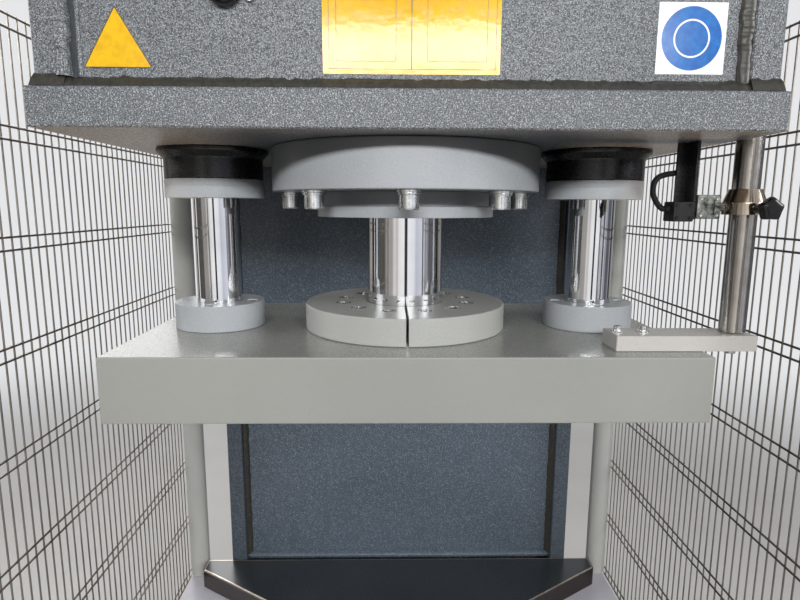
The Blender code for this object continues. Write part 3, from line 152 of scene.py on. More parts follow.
def paintedSurface(name, look):
    # paint: a fine grain, raised and lighter on its tops, slow shade changes, bright flecks where asked, and
    # painted shade over a region where asked
    mat, tree, shader = newMaterial(name)
    place = addNode(tree, "ShaderNodeTexCoord").outputs["Object"]
    fine = {"Scale": perMetre(look["grainMm"]), "Detail": 2.0, "Roughness": look.get("grainRough", 0.55)}
    grain = addNode(tree, "ShaderNodeTexNoise", fine, {"Vector": place})
    slow = addNode(tree, "ShaderNodeTexNoise", {"Scale": perMetre(look["cloudMm"]), "Detail": 4.0},
                   {"Vector": place})
    colour = addNode(tree, "ShaderNodeValToRGB", {}, {"Fac": grain.outputs["Fac"]})
    setRamp(colour, look["ramp"] if "ramp" in look else [(0.3, look["dark"]), (0.7, look["light"])])
    shade = addNode(tree, "ShaderNodeValToRGB", {}, {"Fac": slow.outputs["Fac"]})
    setRamp(shade, [(0.3, look["cloudDark"]), (0.7, 1.0)])
    multiply = {"data_type": "RGBA", "blend_type": "MULTIPLY"}
    tint = addNode(tree, "ShaderNodeMix", {**multiply, 0: 1.0},
                   {6: colour.outputs["Color"], 7: shade.outputs["Color"]}).outputs[2]
    if "fleckHex" in look:
        fleck = addNode(tree, "ShaderNodeTexNoise", {"Scale": perMetre(look["fleckMm"]), "Detail": 0.0},
                        {"Vector": place})
        limits = {"From Min": look["fleckFrom"], "From Max": look["fleckFrom"] + 0.07, "To Max": 0.8}
        chosen = addNode(tree, "ShaderNodeMapRange", limits, {"Value": fleck.outputs["Fac"]})
        tint = addNode(tree, "ShaderNodeMix", {"data_type": "RGBA", 7: hexLinear(look["fleckHex"])},
                       {0: chosen.outputs["Result"], 6: tint}).outputs[2]
    # painted shade: inside the region the colour is multiplied by a darker tint
    if "paintedShade" in look:
        tint = addNode(tree, "ShaderNodeMix", {**multiply, 7: hexLinear(look["paintedShade"]["hex"])},
                       {0: paintedShadeShare(tree, place, look["paintedShade"]), 6: tint}).outputs[2]
    finishShader(tree, shader, look, tint, grain.outputs["Fac"])
    shader.inputs["IOR"].default_value = 1.5
    shader.inputs["Coat Weight"].default_value = look.get("coat", 0.0)
    shader.inputs["Coat Roughness"].default_value = 0.2
    return mat


def bareMetal(name, look):
    # metal: long scratches or turning lines along one axis, and a cloudy tarnish
    mat, tree, shader = newMaterial(name)
    place = addNode(tree, "ShaderNodeTexCoord").outputs["Object"]
    stretch = addNode(tree, "ShaderNodeMapping", {"Scale": look["lines"]}, {"Vector": place})
    lines = addNode(tree, "ShaderNodeTexNoise", {"Scale": 1.0, "Detail": 2.0},
                    {"Vector": stretch.outputs["Vector"]})
    cloud = addNode(tree, "ShaderNodeTexNoise", {"Scale": perMetre(look["cloudMm"]), "Detail": 3.0},
                    {"Vector": place})
    colour = addNode(tree, "ShaderNodeValToRGB", {}, {"Fac": cloud.outputs["Fac"]})
    setRamp(colour, [(0.3, look["dark"]), (0.7, look["light"])])
    finishShader(tree, shader, look, colour.outputs["Color"], lines.outputs["Fac"])
    shader.inputs["Metallic"].default_value = look.get("metallic", 1.0)
    return mat


# hammertone enamel, sprayed thick on welded plate: a tight wrinkle with bright flecks of aluminium flake
hammertone = {"grainMm": 1.7, "grainRough": 0.5, "cloudMm": 160, "cloudDark": 0.9, "fleckMm": 1.35,
              "fleckHex": "#bcc0c4", "fleckFrom": 0.64, "roughness": (0.46, 0.3), "bump": 0.75, "bumpMm": 0.6,
              "ramp": [(0.36, "#3a3d40"), (0.5, "#606468"), (0.64, "#83878b")]}
# satin enamel rolled smooth: dull in front, a mirror at a low angle
satin = {"grainMm": 1.6, "cloudMm": 120, "cloudDark": 0.95, "roughness": (0.34, 0.26), "bump": 0.15,
         "bumpMm": 0.1}

paints = {
    "hammertoneEnamel": hammertone,
    # hammertone, darker and bluer on the plates' edges inside the throat: painted shade where the platen
    # shades them
    "sidePlateEnamelPaintedShade": {**hammertone, "paintedShade": {"hex": "#a6b2be", "underZ": 1.75, "insideX": 0.4346,
                                                 "fromY": (0.12, 0.14)}},
    # the same enamel on the weld beads, glossier, and darker and browner: painted shade and a painted dark
    # reflection of what is overhead
    "weldEnamelPaintedShade": {"grainMm": 6.0, "cloudMm": 40, "cloudDark": 0.8, "dark": "#2b2b27", "light": "#3f3d36",
                   "roughness": (0.4, 0.28), "bump": 0.4, "bumpMm": 0.6},
    # a darker coat on a flat strip along a seam: painted shade that stands in for the groove, where little
    # light gets
    "seamPaintedShade": {"grainMm": 2.4, "cloudMm": 30, "cloudDark": 0.8, "dark": "#22272c", "light": "#32383e",
                   "roughness": (0.5, 0.38), "bump": 0.5, "bumpMm": 0.5},
    # platen: the glossiest of the satin coats
    "satinGreyEnamel": {**satin, "cloudMm": 150, "dark": "#8f908b", "light": "#9d9e99",
                        "roughness": (0.32, 0.24), "bump": 0.22, "bumpMm": 0.12, "coat": 0.1},
    # the same, a shade lighter, on the split collar
    "collarEnamel": {**satin, "cloudMm": 150, "dark": "#a3a4a0", "light": "#b1b2ae",
                     "roughness": (0.36, 0.28), "bump": 0.22, "bumpMm": 0.12},
    # the cooler grey of flange, gland and rings
    "coolGreyEnamel": {**satin, "dark": "#9da1a5", "light": "#adb1b5", "roughness": (0.38, 0.28),
                       "bump": 0.25, "bumpMm": 0.15},
    # the arm on the platen, nearly white and warm
    "lightGreyEnamel": {**satin, "grainMm": 1.4, "cloudMm": 90, "dark": "#b5b2ae", "light": "#c3c0bc"},
    # off-white guard posts
    "postEnamel": {**satin, "dark": "#b4b5b0", "light": "#c2c3be"},
    # pale deck, a little violet
    "paleDeckEnamel": {**satin, "cloudMm": 150, "cloudDark": 0.92, "dark": "#c4c2cb", "light": "#d2d0d9",
                       "roughness": (0.36, 0.26)},
    # dark blue-grey enamel in the throat, sprayed on coarse
    "throatEnamel": {"grainMm": 2.4, "cloudMm": 160, "cloudDark": 0.85, "fleckMm": 1.8, "fleckHex": "#7f8a95",
                     "fleckFrom": 0.63, "ramp": [(0.35, "#3d4650"), (0.65, "#525d68")],
                     "roughness": (0.42, 0.3), "bump": 0.5, "bumpMm": 0.4},
    # the table's blued and oiled steel, darker and browner on its sides: painted shade and a painted warm
    # reflection
    "oiledBlackSteelPaintedSides": {"grainMm": 0.9, "cloudMm": 90, "cloudDark": 0.8, "dark": "#282c30",
                        "light": "#34383c", "paintedShade": {"hex": "#c08a70", "underZ": 0.7494},
                        "roughness": (0.34, 0.24), "bump": 0.12, "bumpMm": 0.06, "coat": 0.1},
    # black paint brushed on turned parts, with a soft gloss
    "glossBlackPaint": {"grainMm": 4.0, "cloudMm": 30, "cloudDark": 0.7, "dark": "#0a0b0d",
                        "light": "#121316", "roughness": (0.34, 0.24), "bump": 0.3, "bumpMm": 0.4},
    # knobs, moulded in a polished tool
    "blackPolyamide": {"grainMm": 0.8, "cloudMm": 25, "cloudDark": 0.8, "dark": "#08080a", "light": "#0f0f12",
                       "roughness": (0.28, 0.16), "bump": 0.12, "bumpMm": 0.05},
    # the switch's case, moulded in a blasted tool, so that it shows no light
    "mattBlackPlastic": {"grainMm": 0.8, "cloudMm": 25, "cloudDark": 0.8, "dark": "#060607",
                         "light": "#0c0c0e", "roughness": (0.7, 0.56), "bump": 0.12, "bumpMm": 0.05},
    # sprayed enamel of the tank and motor
    "darkBlueEnamel": {"grainMm": 2.2, "cloudMm": 140, "cloudDark": 0.9, "dark": "#3f464e",
                       "light": "#4f565f", "roughness": (0.42, 0.3), "bump": 0.3, "bumpMm": 0.3},
    # moulded seals, dull
    "nitrileRubber": {"grainMm": 1.0, "cloudMm": 20, "cloudDark": 0.8, "dark": "#0c0c0d", "light": "#151516",
                      "roughness": (0.7, 0.6), "bump": 0.2, "bumpMm": 0.1},
    # printed vinyl of the signs, glossy and a little wavy where it is stuck down
    "yellowVinyl": {"grainMm": 9, "cloudMm": 30, "cloudDark": 0.95,
                    "ramp": [(0.35, "#e2ad08"), (0.6, "#eebd12")], "roughness": (0.13, 0.07), "bump": 0.4,
                    "bumpMm": 0.2},
    "whiteVinyl": {"grainMm": 10, "cloudMm": 30, "cloudDark": 0.97,
                   "ramp": [(0.35, "#e9ebee"), (0.6, "#f5f6f7")], "roughness": (0.2, 0.12), "bump": 0.2,
                   "bumpMm": 0.12},
    # inks on the vinyl, as glossy as it is
    "blueInk": {"grainMm": 9, "cloudMm": 12, "cloudDark": 0.85,
                "ramp": [(0.35, "#1560b2"), (0.65, "#2674c2")], "roughness": (0.2, 0.12), "bump": 0.25,
                "bumpMm": 0.12},
    "brownInk": {"grainMm": 6, "cloudMm": 20, "cloudDark": 0.8, "dark": "#5a4a34", "light": "#6b5a40",
                 "roughness": (0.24, 0.16), "bump": 0.1, "bumpMm": 0.05},
}

# "lines" are waves per metre along x, y and z: few along a line, many across it
metals = {
    # hard chrome, ground and polished round: a mirror with the faintest lines
    "hardChrome": {"dark": "#dcdde0", "light": "#e9eaec", "cloudMm": 60, "lines": (60, 60, 900),
                   "roughness": (0.04, 0.08), "bump": 0.03, "bumpMm": 0.02},
    # centreless ground bar, a blurred mirror
    "groundBar": {"dark": "#a59f99", "light": "#bcb8b2", "cloudMm": 45, "lines": (1500, 1500, 260),
                  "roughness": (0.14, 0.24), "bump": 0.08, "bumpMm": 0.02},
    # turned steel: fine rings from the tool, slightly golden
    "turnedSteel": {"dark": "#b9aa99", "light": "#d2c6b8", "cloudMm": 30, "lines": (40, 40, 1500),
                    "roughness": (0.1, 0.2), "bump": 0.1, "bumpMm": 0.02},
    # plated screws and washers, bright with small stains
    "brightZinc": {"dark": "#c6c8c7", "light": "#dfe1df", "cloudMm": 8, "lines": (300, 300, 300),
                   "roughness": (0.2, 0.28), "bump": 0.02, "bumpMm": 0.03},
    # pressure die casting, left raw: lumpy, with light and dark patches
    "zincCasting": {"dark": "#3d3f3b", "light": "#aaaea6", "cloudMm": 9, "lines": (260, 260, 260),
                    "roughness": (0.22, 0.45), "bump": 0.9, "bumpMm": 0.8, "metallic": 0.9},
    # bored bearing bronze
    "bearingBronze": {"dark": "#a97b3f", "light": "#c59a58", "cloudMm": 20, "lines": (100, 100, 1200),
                      "roughness": (0.28, 0.4), "bump": 0.1, "bumpMm": 0.03},
    # drawn wire, dulled by handling
    "drawnWire": {"dark": "#7b746c", "light": "#a29b92", "cloudMm": 90, "lines": (700, 700, 700),
                  "roughness": (0.3, 0.45), "bump": 0.2, "bumpMm": 0.05},
    # steel ground to a bright chamfer
    "groundEdge": {"dark": "#b9ab9b", "light": "#d8ccbd", "cloudMm": 12, "lines": (300, 300, 300),
                   "roughness": (0.25, 0.4), "bump": 0.1, "bumpMm": 0.03},
}

finishes = {name: paintedSurface(name, look) for name, look in paints.items()}
finishes.update({name: bareMetal(name, look) for name, look in metals.items()})
print("finishes made")

# shapes: each is (points, faces), and several make one piece


def gridShape(grid, wrapU=False, wrapV=False, capStart=False, capEnd=False):
    # a grid of points joined in quads along both parameters, with flat caps on the first and last row
    rows, cols = grid.shape[:2]
    index = np.arange(rows * cols).reshape(rows, cols)
    ring = np.vstack([index, index[:1]]) if wrapU else index
    ring = np.hstack([ring, ring[:, :1]]) if wrapV else ring
    quads = np.stack([ring[:-1, :-1], ring[1:, :-1], ring[1:, 1:], ring[:-1, 1:]], -1).reshape(-1, 4)
    faces = quads.tolist()
    if capStart:
        faces.append(index[0].tolist())
    if capEnd:
        faces.append(index[-1][::-1].tolist())
    return grid.reshape(-1, 3), faces


def mergeShapes(shapes):
    points, faces, start = [], [], 0
    for own, loops in shapes:
        points.append(own)
        faces += [[start + i for i in loop] for loop in loops]
        start += len(own)
    return np.vstack(points), faces


def axisFrame(axis):
    # three unit vectors, the last along the axis
    along = np.array(axis, float)
    along /= np.linalg.norm(along)
    side = np.cross((0.0, 0.0, 1.0), along) if abs(along[2]) < 0.9 else np.array((1.0, 0.0, 0.0))
    side /= np.linalg.norm(side)
    return np.stack([side, np.cross(along, side), along])


def fullTurn(steps):
    return np.linspace(0, 2 * np.pi, steps, endpoint=False)


def softCorners(profile, radius, steps=3):
    # each corner c of a closed profile becomes a curve between tangent points: (1-t)^2 a + 2t(1-t) c + t^2 b
    points = np.array(profile, float)
    before = np.roll(points, 1, 0) - points
    after = np.roll(points, -1, 0) - points
    lengths = np.linalg.norm(before, axis=1), np.linalg.norm(after, axis=1)
    reach = np.minimum(radius, 0.45 * np.minimum(*lengths))
    start = points + before / lengths[0][:, None] * reach[:, None]
    end = points + after / lengths[1][:, None] * reach[:, None]
    t = np.linspace(0, 1, steps + 1)[None, :, None]
    arc = (1 - t) ** 2 * start[:, None] + 2 * t * (1 - t) * points[:, None] + t ** 2 * end[:, None]
    return arc.reshape(-1, 2)


def turnedShape(profile, centre, axis=(0, 0, 1), steps=96, soft=0.0, solid=False):
    # revolve (radius, height): x = r cos a, y = r sin a, z = h, carried into the axis's own frame
    profile = softCorners(profile, soft) if soft else np.array(profile, float)
    if solid and soft:
        # the two corners on the axis stay one point each
        profile = profile[2:-2]
        profile[[0, -1], 0] = 0.0
    angle = fullTurn(steps)
    local = np.stack([profile[None, :, 0] * np.cos(angle)[:, None],
                      profile[None, :, 0] * np.sin(angle)[:, None],
                      np.broadcast_to(profile[None, :, 1], (steps, len(profile)))], -1)
    return gridShape(local @ axisFrame(axis) + np.array(centre, float), wrapU=True, wrapV=not solid)


def rodShape(radius, low, high, centre, axis=(0, 0, 1), soft=0.001, steps=96):
    # solid bar from low to high along the axis, with a chamfer at both ends
    profile = [(0, high), (radius - soft, high), (radius, high - soft), (radius, low + soft),
               (radius - soft, low), (0, low)]
    return turnedShape(profile, centre, axis, steps, solid=True)


def ringShape(inner, outer, low, high, centre, axis=(0, 0, 1), soft=0.001, steps=96):
    return turnedShape([(inner, high), (outer, high), (outer, low), (inner, low)], centre, axis, steps, soft)


def rimShape(rows, angle, centre, axis=(0, 0, 1)):
    # rows of (radius, height) where the radius may change with the angle: (r(a) cos a, r(a) sin a, h)
    grid = np.stack([np.stack([r * np.cos(angle), r * np.sin(angle), np.full(len(angle), h)], -1)
                     for r, h in rows])
    return gridShape(grid @ axisFrame(axis) + np.array(centre, float), wrapV=True)


def hexagonReach(angle):
    # a hexagon of half width 1: r = 1 / cos a, with a brought within 30 degrees of the nearest flat
    return 1 / np.cos((angle + np.pi / 6) % (np.pi / 3) - np.pi / 6)


# cap screws: shares of the head's radius, of its height, and of the socket's half width
capScrews = {"knurl": 0.002, "edge": 0.08, "chamfer": 1.6, "flare": 1.06, "flareDeep": 0.5, "floor": 0.5,
             "point": 0.3}


def screwShape(centre, axis, head, height, socket, steps=72):
    # socket cap screw: knurled side r (1 + k cos(n a / 2)), chamfer, flat rim, hexagon sunk into the top
    angle = fullTurn(steps)
    knurled = head * (1 + capScrews["knurl"] * np.cos(angle * steps / 2))
    hexagon = socket * hexagonReach(angle)
    edge = head * capScrews["edge"]
    floor = height * capScrews["floor"]
    rows = [(0.0, 0.0), (knurled, 0.0), (knurled, height - edge * capScrews["chamfer"]),
            (head - edge, height), (hexagon * capScrews["flare"], height),
            (hexagon, height - edge * capScrews["flareDeep"]), (hexagon, floor),
            (0.0, floor - socket * capScrews["point"])]
    return rimShape(rows, angle, centre, axis)


def blockShape(low, high, soft=0.002, steps=3):
    # eight eighths of a sphere, pulled apart to the corners of a box: p = middle + (half - r) sign(d) + r d
    low, high = np.array(low, float), np.array(high, float)
    middle, half = (low + high) / 2, (high - low) / 2
    quarter = np.linspace(0, np.pi / 2, steps + 1)
    turn = np.concatenate([quarter + k * np.pi / 2 for k in range(4)])
    signX = np.repeat((1, -1, -1, 1), steps + 1)
    signY = np.repeat((1, 1, -1, -1), steps + 1)
    tilt = np.concatenate([quarter - np.pi / 2, quarter])
    signZ = np.repeat((-1, 1), steps + 1)
    grid = np.empty((len(tilt), len(turn), 3))
    grid[..., 0] = (half[0] - soft) * signX[None] + soft * np.cos(tilt)[:, None] * np.cos(turn)[None]
    grid[..., 1] = (half[1] - soft) * signY[None] + soft * np.cos(tilt)[:, None] * np.sin(turn)[None]
    grid[..., 2] = (half[2] - soft) * signZ[:, None] + soft * np.sin(tilt)[:, None]
    return gridShape(grid + middle, wrapV=True, capStart=True, capEnd=True)


def smoothPath(route, parts=8):
    # cubic through every point of a route, from the four nearest:
    # (2b + (c-a)t + (2a-5b+4c-d)t^2 + (3b-a-3c+d)t^3) / 2
    route = np.array(route, float)
    padded = np.vstack([2 * route[0] - route[1], route, 2 * route[-1] - route[-2]])
    a, b, c, d = (padded[k:k + len(route) - 1, None] for k in range(4))
    t = (np.arange(parts) / parts)[None, :, None]
    square, cube = 2 * a - 5 * b + 4 * c - d, 3 * b - a - 3 * c + d
    curve = 0.5 * (2 * b + (c - a) * t + square * t ** 2 + cube * t ** 3)
    return np.vstack([curve.reshape(-1, 3), route[-1:]])


def tubeShape(path, radius, sides=16, guide=(0.13, 0.09, 1.0)):
    # a circle carried along a path: p + r (cos a n + sin a b), its normals found against one guide direction
    path = np.array(path, float)
    along = np.gradient(path, axis=0)
    along /= np.linalg.norm(along, axis=1)[:, None]
    normal = np.cross(along, guide)
    normal /= np.linalg.norm(normal, axis=1)[:, None]
    binormal = np.cross(along, normal)
    angle = fullTurn(sides)
    size = np.broadcast_to(radius, (len(path),))[:, None, None]
    grid = path[:, None] + size * (np.cos(angle)[None, :, None] * normal[:, None]
                                   + np.sin(angle)[None, :, None] * binormal[:, None])
    return gridShape(grid, wrapV=True, capStart=True, capEnd=True)


def slabShape(outline, origin, right, up, low, high):
    # a flat outline given thickness: p = origin + x right + y up + h normal, h from low to high
    outline = np.array(outline, float)
    right, up = np.array(right, float), np.array(up, float)
    flat = np.array(origin, float) + outline[:, :1] * right + outline[:, 1:] * up
    normal = np.cross(right, up)
    grid = np.stack([flat + low * normal, flat + high * normal])
    return gridShape(grid, wrapV=True, capStart=True, capEnd=True)


def frameShape(outline, width, origin, right, up, low, high):
    # a flat line of even width inside a closed outline: each corner moves in by width along its two edges
    outer = np.array(outline, float)
    ahead = np.roll(outer, -1, 0) - outer
    ahead /= np.linalg.norm(ahead, axis=1)[:, None]
    inward = np.stack([-ahead[:, 1], ahead[:, 0]], -1)
    last = np.roll(inward, 1, 0)
    inner = outer + width * (inward + last) / (1 + np.sum(inward * last, 1))[:, None]
    right, up = np.array(right, float), np.array(up, float)
    normal = np.cross(right, up)
    section = [(outer, low), (outer, high), (inner, high), (inner, low)]
    grid = np.stack([np.array(origin, float) + flat[:, :1] * right + flat[:, 1:] * up + h * normal
                     for flat, h in section], 1)
    return gridShape(grid, wrapU=True, wrapV=True)


def closedMesh(name, shapes):
    # the shapes as one mesh, its doubles merged and every face turned outwards
    points, faces = mergeShapes(shapes)
    mesh = bpy.data.meshes.new(name)
    mesh.from_pydata(points.tolist(), [], faces)
    work = bmesh.new()
    work.from_mesh(mesh)
    bmesh.ops.remove_doubles(work, verts=work.verts, dist=1e-6)
    bmesh.ops.recalc_face_normals(work, faces=work.faces)
    work.to_mesh(mesh)
    work.free()
    return mesh


def shadeEdges(mesh, sharp):
    # smooth, with edges over so many degrees left sharp
    mesh.shade_smooth()
    mesh.set_sharp_from_angle(angle=math.radians(sharp))


def buildPiece(name, shapes, body, finish, stands=(), sharp=28):
    # one closed mesh at the origin, on a body of the frame, in place of the nodes that it stands for
    mesh = closedMesh(name, shapes)
    shadeEdges(mesh, sharp)
    piece = bpy.data.objects.new(name, mesh)
    bpy.context.scene.collection.objects.link(piece)
    mesh.materials.append(finishes[finish])
    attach(piece, body)
    if stands:
        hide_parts(*stands)
    return piece


def softNormals(piece):
    # flat faces keep their own shading where they meet small rounded edges
    mod = piece.modifiers.new("normals", "WEIGHTED_NORMAL")
    mod.keep_sharp = True
    mod.weight = 100


def addPiece(name, shapes, body, finish, stands=(), sharp=28):
    softNormals(buildPiece(name, shapes, body, finish, stands, sharp))


def boreHoles(piece, spots, radius, top, depth, sharp=28):
    # plain upright holes, cut down into the piece from its top
    above = top + 0.01
    shapes = [rodShape(radius, top - depth, above, (x, y, 0), soft=radius * 0.02, steps=32) for x, y in spots]
    borer = bpy.data.objects.new("borer", closedMesh("borer", shapes))
    bpy.context.scene.collection.objects.link(borer)
    mod = piece.modifiers.new("bore", "BOOLEAN")
    mod.operation = "DIFFERENCE"
    mod.object = borer
    mod.solver = "EXACT"
    depsgraph = bpy.context.evaluated_depsgraph_get()
    bored = bpy.data.meshes.new_from_object(piece.evaluated_get(depsgraph))
    piece.modifiers.clear()
    piece.data = bored
    shadeEdges(bored, sharp)
    bpy.data.objects.remove(borer)
    softNormals(piece)


def onCircle(count, radius, first, centre):
    # spots at first + 360 k / count degrees
    angle = math.radians(first) + 2 * np.pi * np.arange(count) / count
    return np.stack([centre[0] + radius * np.cos(angle), centre[1] + radius * np.sin(angle)], -1)


def nodeBox(node):
    low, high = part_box(node)
    return np.array(low), np.array(high)


def roundNode(node):
    # axis and size of an upright round node: centre x, centre y, radius, low, high
    low, high = nodeBox(node)
    middle = (low + high) / 2
    return middle[0], middle[1], (high[0] - low[0]) / 2, low[2], high[2]


# finishes of the frame's own nodes
nodeFinishes = {
    "sidePlateEnamelPaintedShade": ["side_plate_left", "side_plate_right"],
    "hammertoneEnamel": ["spine_rear_plate", "bed_front_plate", "bed_top_plate", "foot_bar_front",
                         "foot_bar_rear", "head_bottom_plate", "head_front_plate", "head_roof_plate"],
    "throatEnamel": ["throat_plate"],
    "oiledBlackSteelPaintedSides": ["table_plate"],
    "satinGreyEnamel": ["platen"],
    "paleDeckEnamel": ["deck_plate"],
    "lightGreyEnamel": ["stroke_bracket"],
    "darkBlueEnamel": ["cylinder_barrel", "cylinder_cap", "oil_tank", "tank_lid"],
    "bearingBronze": ["rod_bush", "guide_bush_left", "guide_bush_right"],
    "nitrileRubber": ["rod_seal", "piston_seal"],
    "groundBar": ["piston"],
    "brightZinc": ["valve_block"],
    "glossBlackPaint": ["switch_strap"],
}


def finishNodes():
    for finish, names in nodeFinishes.items():
        for name in names:
            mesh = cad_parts[name].data
            mesh.materials.clear()
            mesh.materials.append(finishes[finish])


finishNodes()

runningGap = 0.0003   # round a rod, in whatever it runs in

# rod, columns and the rings round them; a screw is its head's radius and height and its socket's half width
ramParts = {"rodSteps": 128, "columnSteps": 112, "columnEdge": 0.002, "ringEdge": 0.0016, "screws": 4,
            "screwCircle": 0.054, "screw": (0.0083, 0.0085, 0.0045), "counterbore": 0.0095, "boreDepth": 0.010}


def makeRam():
    x, y, radius, low, high = roundNode("ram_rod")
    rod = rodShape(radius, low, high, (x, y, 0), steps=ramParts["rodSteps"])
    addPiece("chromeRod", [rod], "ram", "hardChrome", ["ram_rod"])
    for end in ("left", "right"):
        x, y, radius, low, high = roundNode("guide_column_" + end)
        column = rodShape(radius, low, high, (x, y, 0), soft=ramParts["columnEdge"],
                          steps=ramParts["columnSteps"])
        addPiece("chromeColumn_" + end, [column], "ram", "hardChrome", ["guide_column_" + end])
        inner = radius + runningGap
        x, y, radius, low, high = roundNode("base_ring_" + end)
        ring = ringShape(inner, radius, low, high, (x, y, 0), soft=ramParts["ringEdge"])
        ring = buildPiece("columnRing_" + end, [ring], "ram", "coolGreyEnamel",
                          ["base_ring_" + end])
        depth = ramParts["boreDepth"]
        spots = onCircle(ramParts["screws"], ramParts["screwCircle"], 0, (x, y))
        boreHoles(ring, spots, ramParts["counterbore"], high, depth)
        screws = [screwShape((*spot, high - depth), (0, 0, 1), *ramParts["screw"]) for spot in spots]
        addPiece("columnRingScrews_" + end, screws, "ram", "brightZinc")


# "circle" is a share of the collar's radius, "rim" how far a bore's bright rim goes in, out, down and up
collarParts = {"split": 0.004, "edge": 0.003, "steps": 73, "screws": 12, "firstScrew": 15, "circle": 0.63,
               "screw": (0.0083, 0.0088, 0.0045), "counterbore": 0.0112, "boreDepth": 0.010,
               "rim": (0.0001, 0.0012, 0.002, 0.0002), "rimEdge": 0.0003}


def makeCollar():
    lowLeft, highLeft = nodeBox("collar_half_left")
    centreY = (lowLeft[1] + highLeft[1]) / 2
    outer = (highLeft[1] - lowLeft[1]) / 2
    inner = roundNode("ram_rod")[2] + runningGap
    low, high = lowLeft[2], highLeft[2]
    section = softCorners([(inner, high), (outer, high), (outer, low), (inner, low)], collarParts["edge"])
    depth, bore = collarParts["boreDepth"], collarParts["counterbore"]
    rimIn, rimOut, rimDown, rimUp = collarParts["rim"]
    circle = outer * collarParts["circle"]
    spots = onCircle(collarParts["screws"], circle, collarParts["firstScrew"], (0, centreY))
    # half a turn whose end faces lie on x = half the split: it stops asin(split / 2r) short at each end
    lean = np.arcsin(collarParts["split"] / 2 / section[:, 0])
    t = np.linspace(0, 1, collarParts["steps"])[:, None]
    angle = -np.pi / 2 + lean[None] + (np.pi - 2 * lean[None]) * t
    for side, end in ((-1, "left"), (1, "right")):
        grid = np.stack([side * section[None, :, 0] * np.cos(angle),
                         centreY + section[None, :, 0] * np.sin(angle),
                         np.broadcast_to(section[None, :, 1], angle.shape)], -1)
        half = gridShape(grid, wrapV=True, capStart=True, capEnd=True)
        half = buildPiece("collarHalf_" + end, [half], "ram", "collarEnamel",
                          ["collar_half_" + end])
        own = spots[spots[:, 0] * side > 0]
        boreHoles(half, own, bore, high, depth)
        screws = [screwShape((*spot, high - depth), (0, 0, 1), *collarParts["screw"]) for spot in own]
        addPiece("collarScrews_" + end, screws, "ram", "brightZinc")
        rims = [ringShape(bore - rimIn, bore + rimOut, high - rimDown, high + rimUp, (*spot, 0),
                          soft=collarParts["rimEdge"], steps=48) for spot in own]
        addPiece("collarBoreRims_" + end, rims, "ram", "brightZinc")


# "circle" is a share of the flange's radius, the two washer shares are of a washer's radius
flangeParts = {"bore": 0.0645, "edge": 0.0025, "bolts": 8, "circle": 0.875, "screw": (0.0143, 0.0195, 0.0068),
               "washer": 0.0177, "washerThick": 0.0035, "washerBore": 0.55, "springWasher": 0.93,
               "neck": 0.137, "neckStep": 0.0165, "lipOut": 0.006, "lipUp": 0.004, "glandEdge": 0.0012}


def makeCylinder():
    x, y, radius, low, high = roundNode("cylinder_flange")
    base = roundNode("gland_ring")[4] + runningGap
    bore = flangeParts["bore"]
    flange = turnedShape([(bore, high), (radius, high), (radius, base), (bore, base)], (x, y, 0), steps=144,
                         soft=flangeParts["edge"])
    addPiece("cylinderFlange", [flange], "frame", "coolGreyEnamel", ["cylinder_flange"])
    screws, washers = [], []
    thick, outer = flangeParts["washerThick"], flangeParts["washer"]
    inner, spring = outer * flangeParts["washerBore"], outer * flangeParts["springWasher"]
    for spot in onCircle(flangeParts["bolts"], radius * flangeParts["circle"], -90, (x, y)):
        # a flat washer under the flange, a narrower spring washer under that, and the screw
        washers.append(ringShape(inner, outer, base - thick, base - 0.0001, (*spot, 0), soft=0.0005,
                                 steps=48))
        washers.append(ringShape(inner, spring, base - 2 * thick + 0.0002, base - thick - 0.0002, (*spot, 0),
                                 soft=0.0004, steps=48))
        screws.append(screwShape((*spot, base - 2 * thick), (0, 0, -1), *flangeParts["screw"]))
    addPiece("flangeWashers", washers, "frame", "brightZinc")
    addPiece("flangeScrews", screws, "frame", "brightZinc")

    x, y, radius, low, high = roundNode("gland_ring")
    neck, step = flangeParts["neck"], low + flangeParts["neckStep"]
    profile = [(bore, high), (neck, high), (neck, step), (radius, step), (radius, low),
               (bore + flangeParts["lipOut"], low), (bore, low + flangeParts["lipUp"])]
    gland = turnedShape(profile, (x, y, 0), steps=128, soft=flangeParts["glandEdge"])
    addPiece("glandRing", [gland], "frame", "coolGreyEnamel", ["gland_ring"])


guideParts = {"clearance": 0.001, "grooveAt": 0.62, "grooveDeep": 0.0005, "grooveHalf": 0.0006,
              "ringEdge": 0.0008, "setback": 0.0005, "bushThick": 0.0076, "topThick": 0.006, "taper": 0.010,
              "housingEdge": 0.0015}


def makeGuides():
    for end in ("left", "right"):
        x, y, radius, low, high = roundNode("guide_ring_" + end)
        inner = roundNode("guide_column_" + end)[2] + guideParts["clearance"]
        groove, half = low + (high - low) * guideParts["grooveAt"], guideParts["grooveHalf"]
        profile = [(inner, high), (radius, high), (radius, groove + half),
                   (radius - guideParts["grooveDeep"], groove), (radius, groove - half), (radius, low),
                   (inner, low)]
        ring = turnedShape(profile, (x, y, 0), soft=guideParts["ringEdge"])
        addPiece("guideRing_" + end, [ring], "frame", "coolGreyEnamel", ["guide_ring_" + end])
        neck, bush = radius - guideParts["setback"], inner + guideParts["bushThick"]
        x, y, lip, low, high = roundNode("guide_housing_" + end)
        step = high - guideParts["topThick"]
        profile = [(bush, high), (lip, high), (lip, step), (neck, step - guideParts["taper"]), (neck, low),
                   (bush, low)]
        housing = turnedShape(profile, (x, y, 0), soft=guideParts["housingEdge"])
        addPiece("guideHousing_" + end, [housing], "frame", "glossBlackPaint",
                 ["guide_housing_" + end])


# the trip collar: a straight body and a cone above it
tripParts = {"rodEdge": 0.002, "body": 0.016, "coneIn": 0.007, "edge": 0.0006}


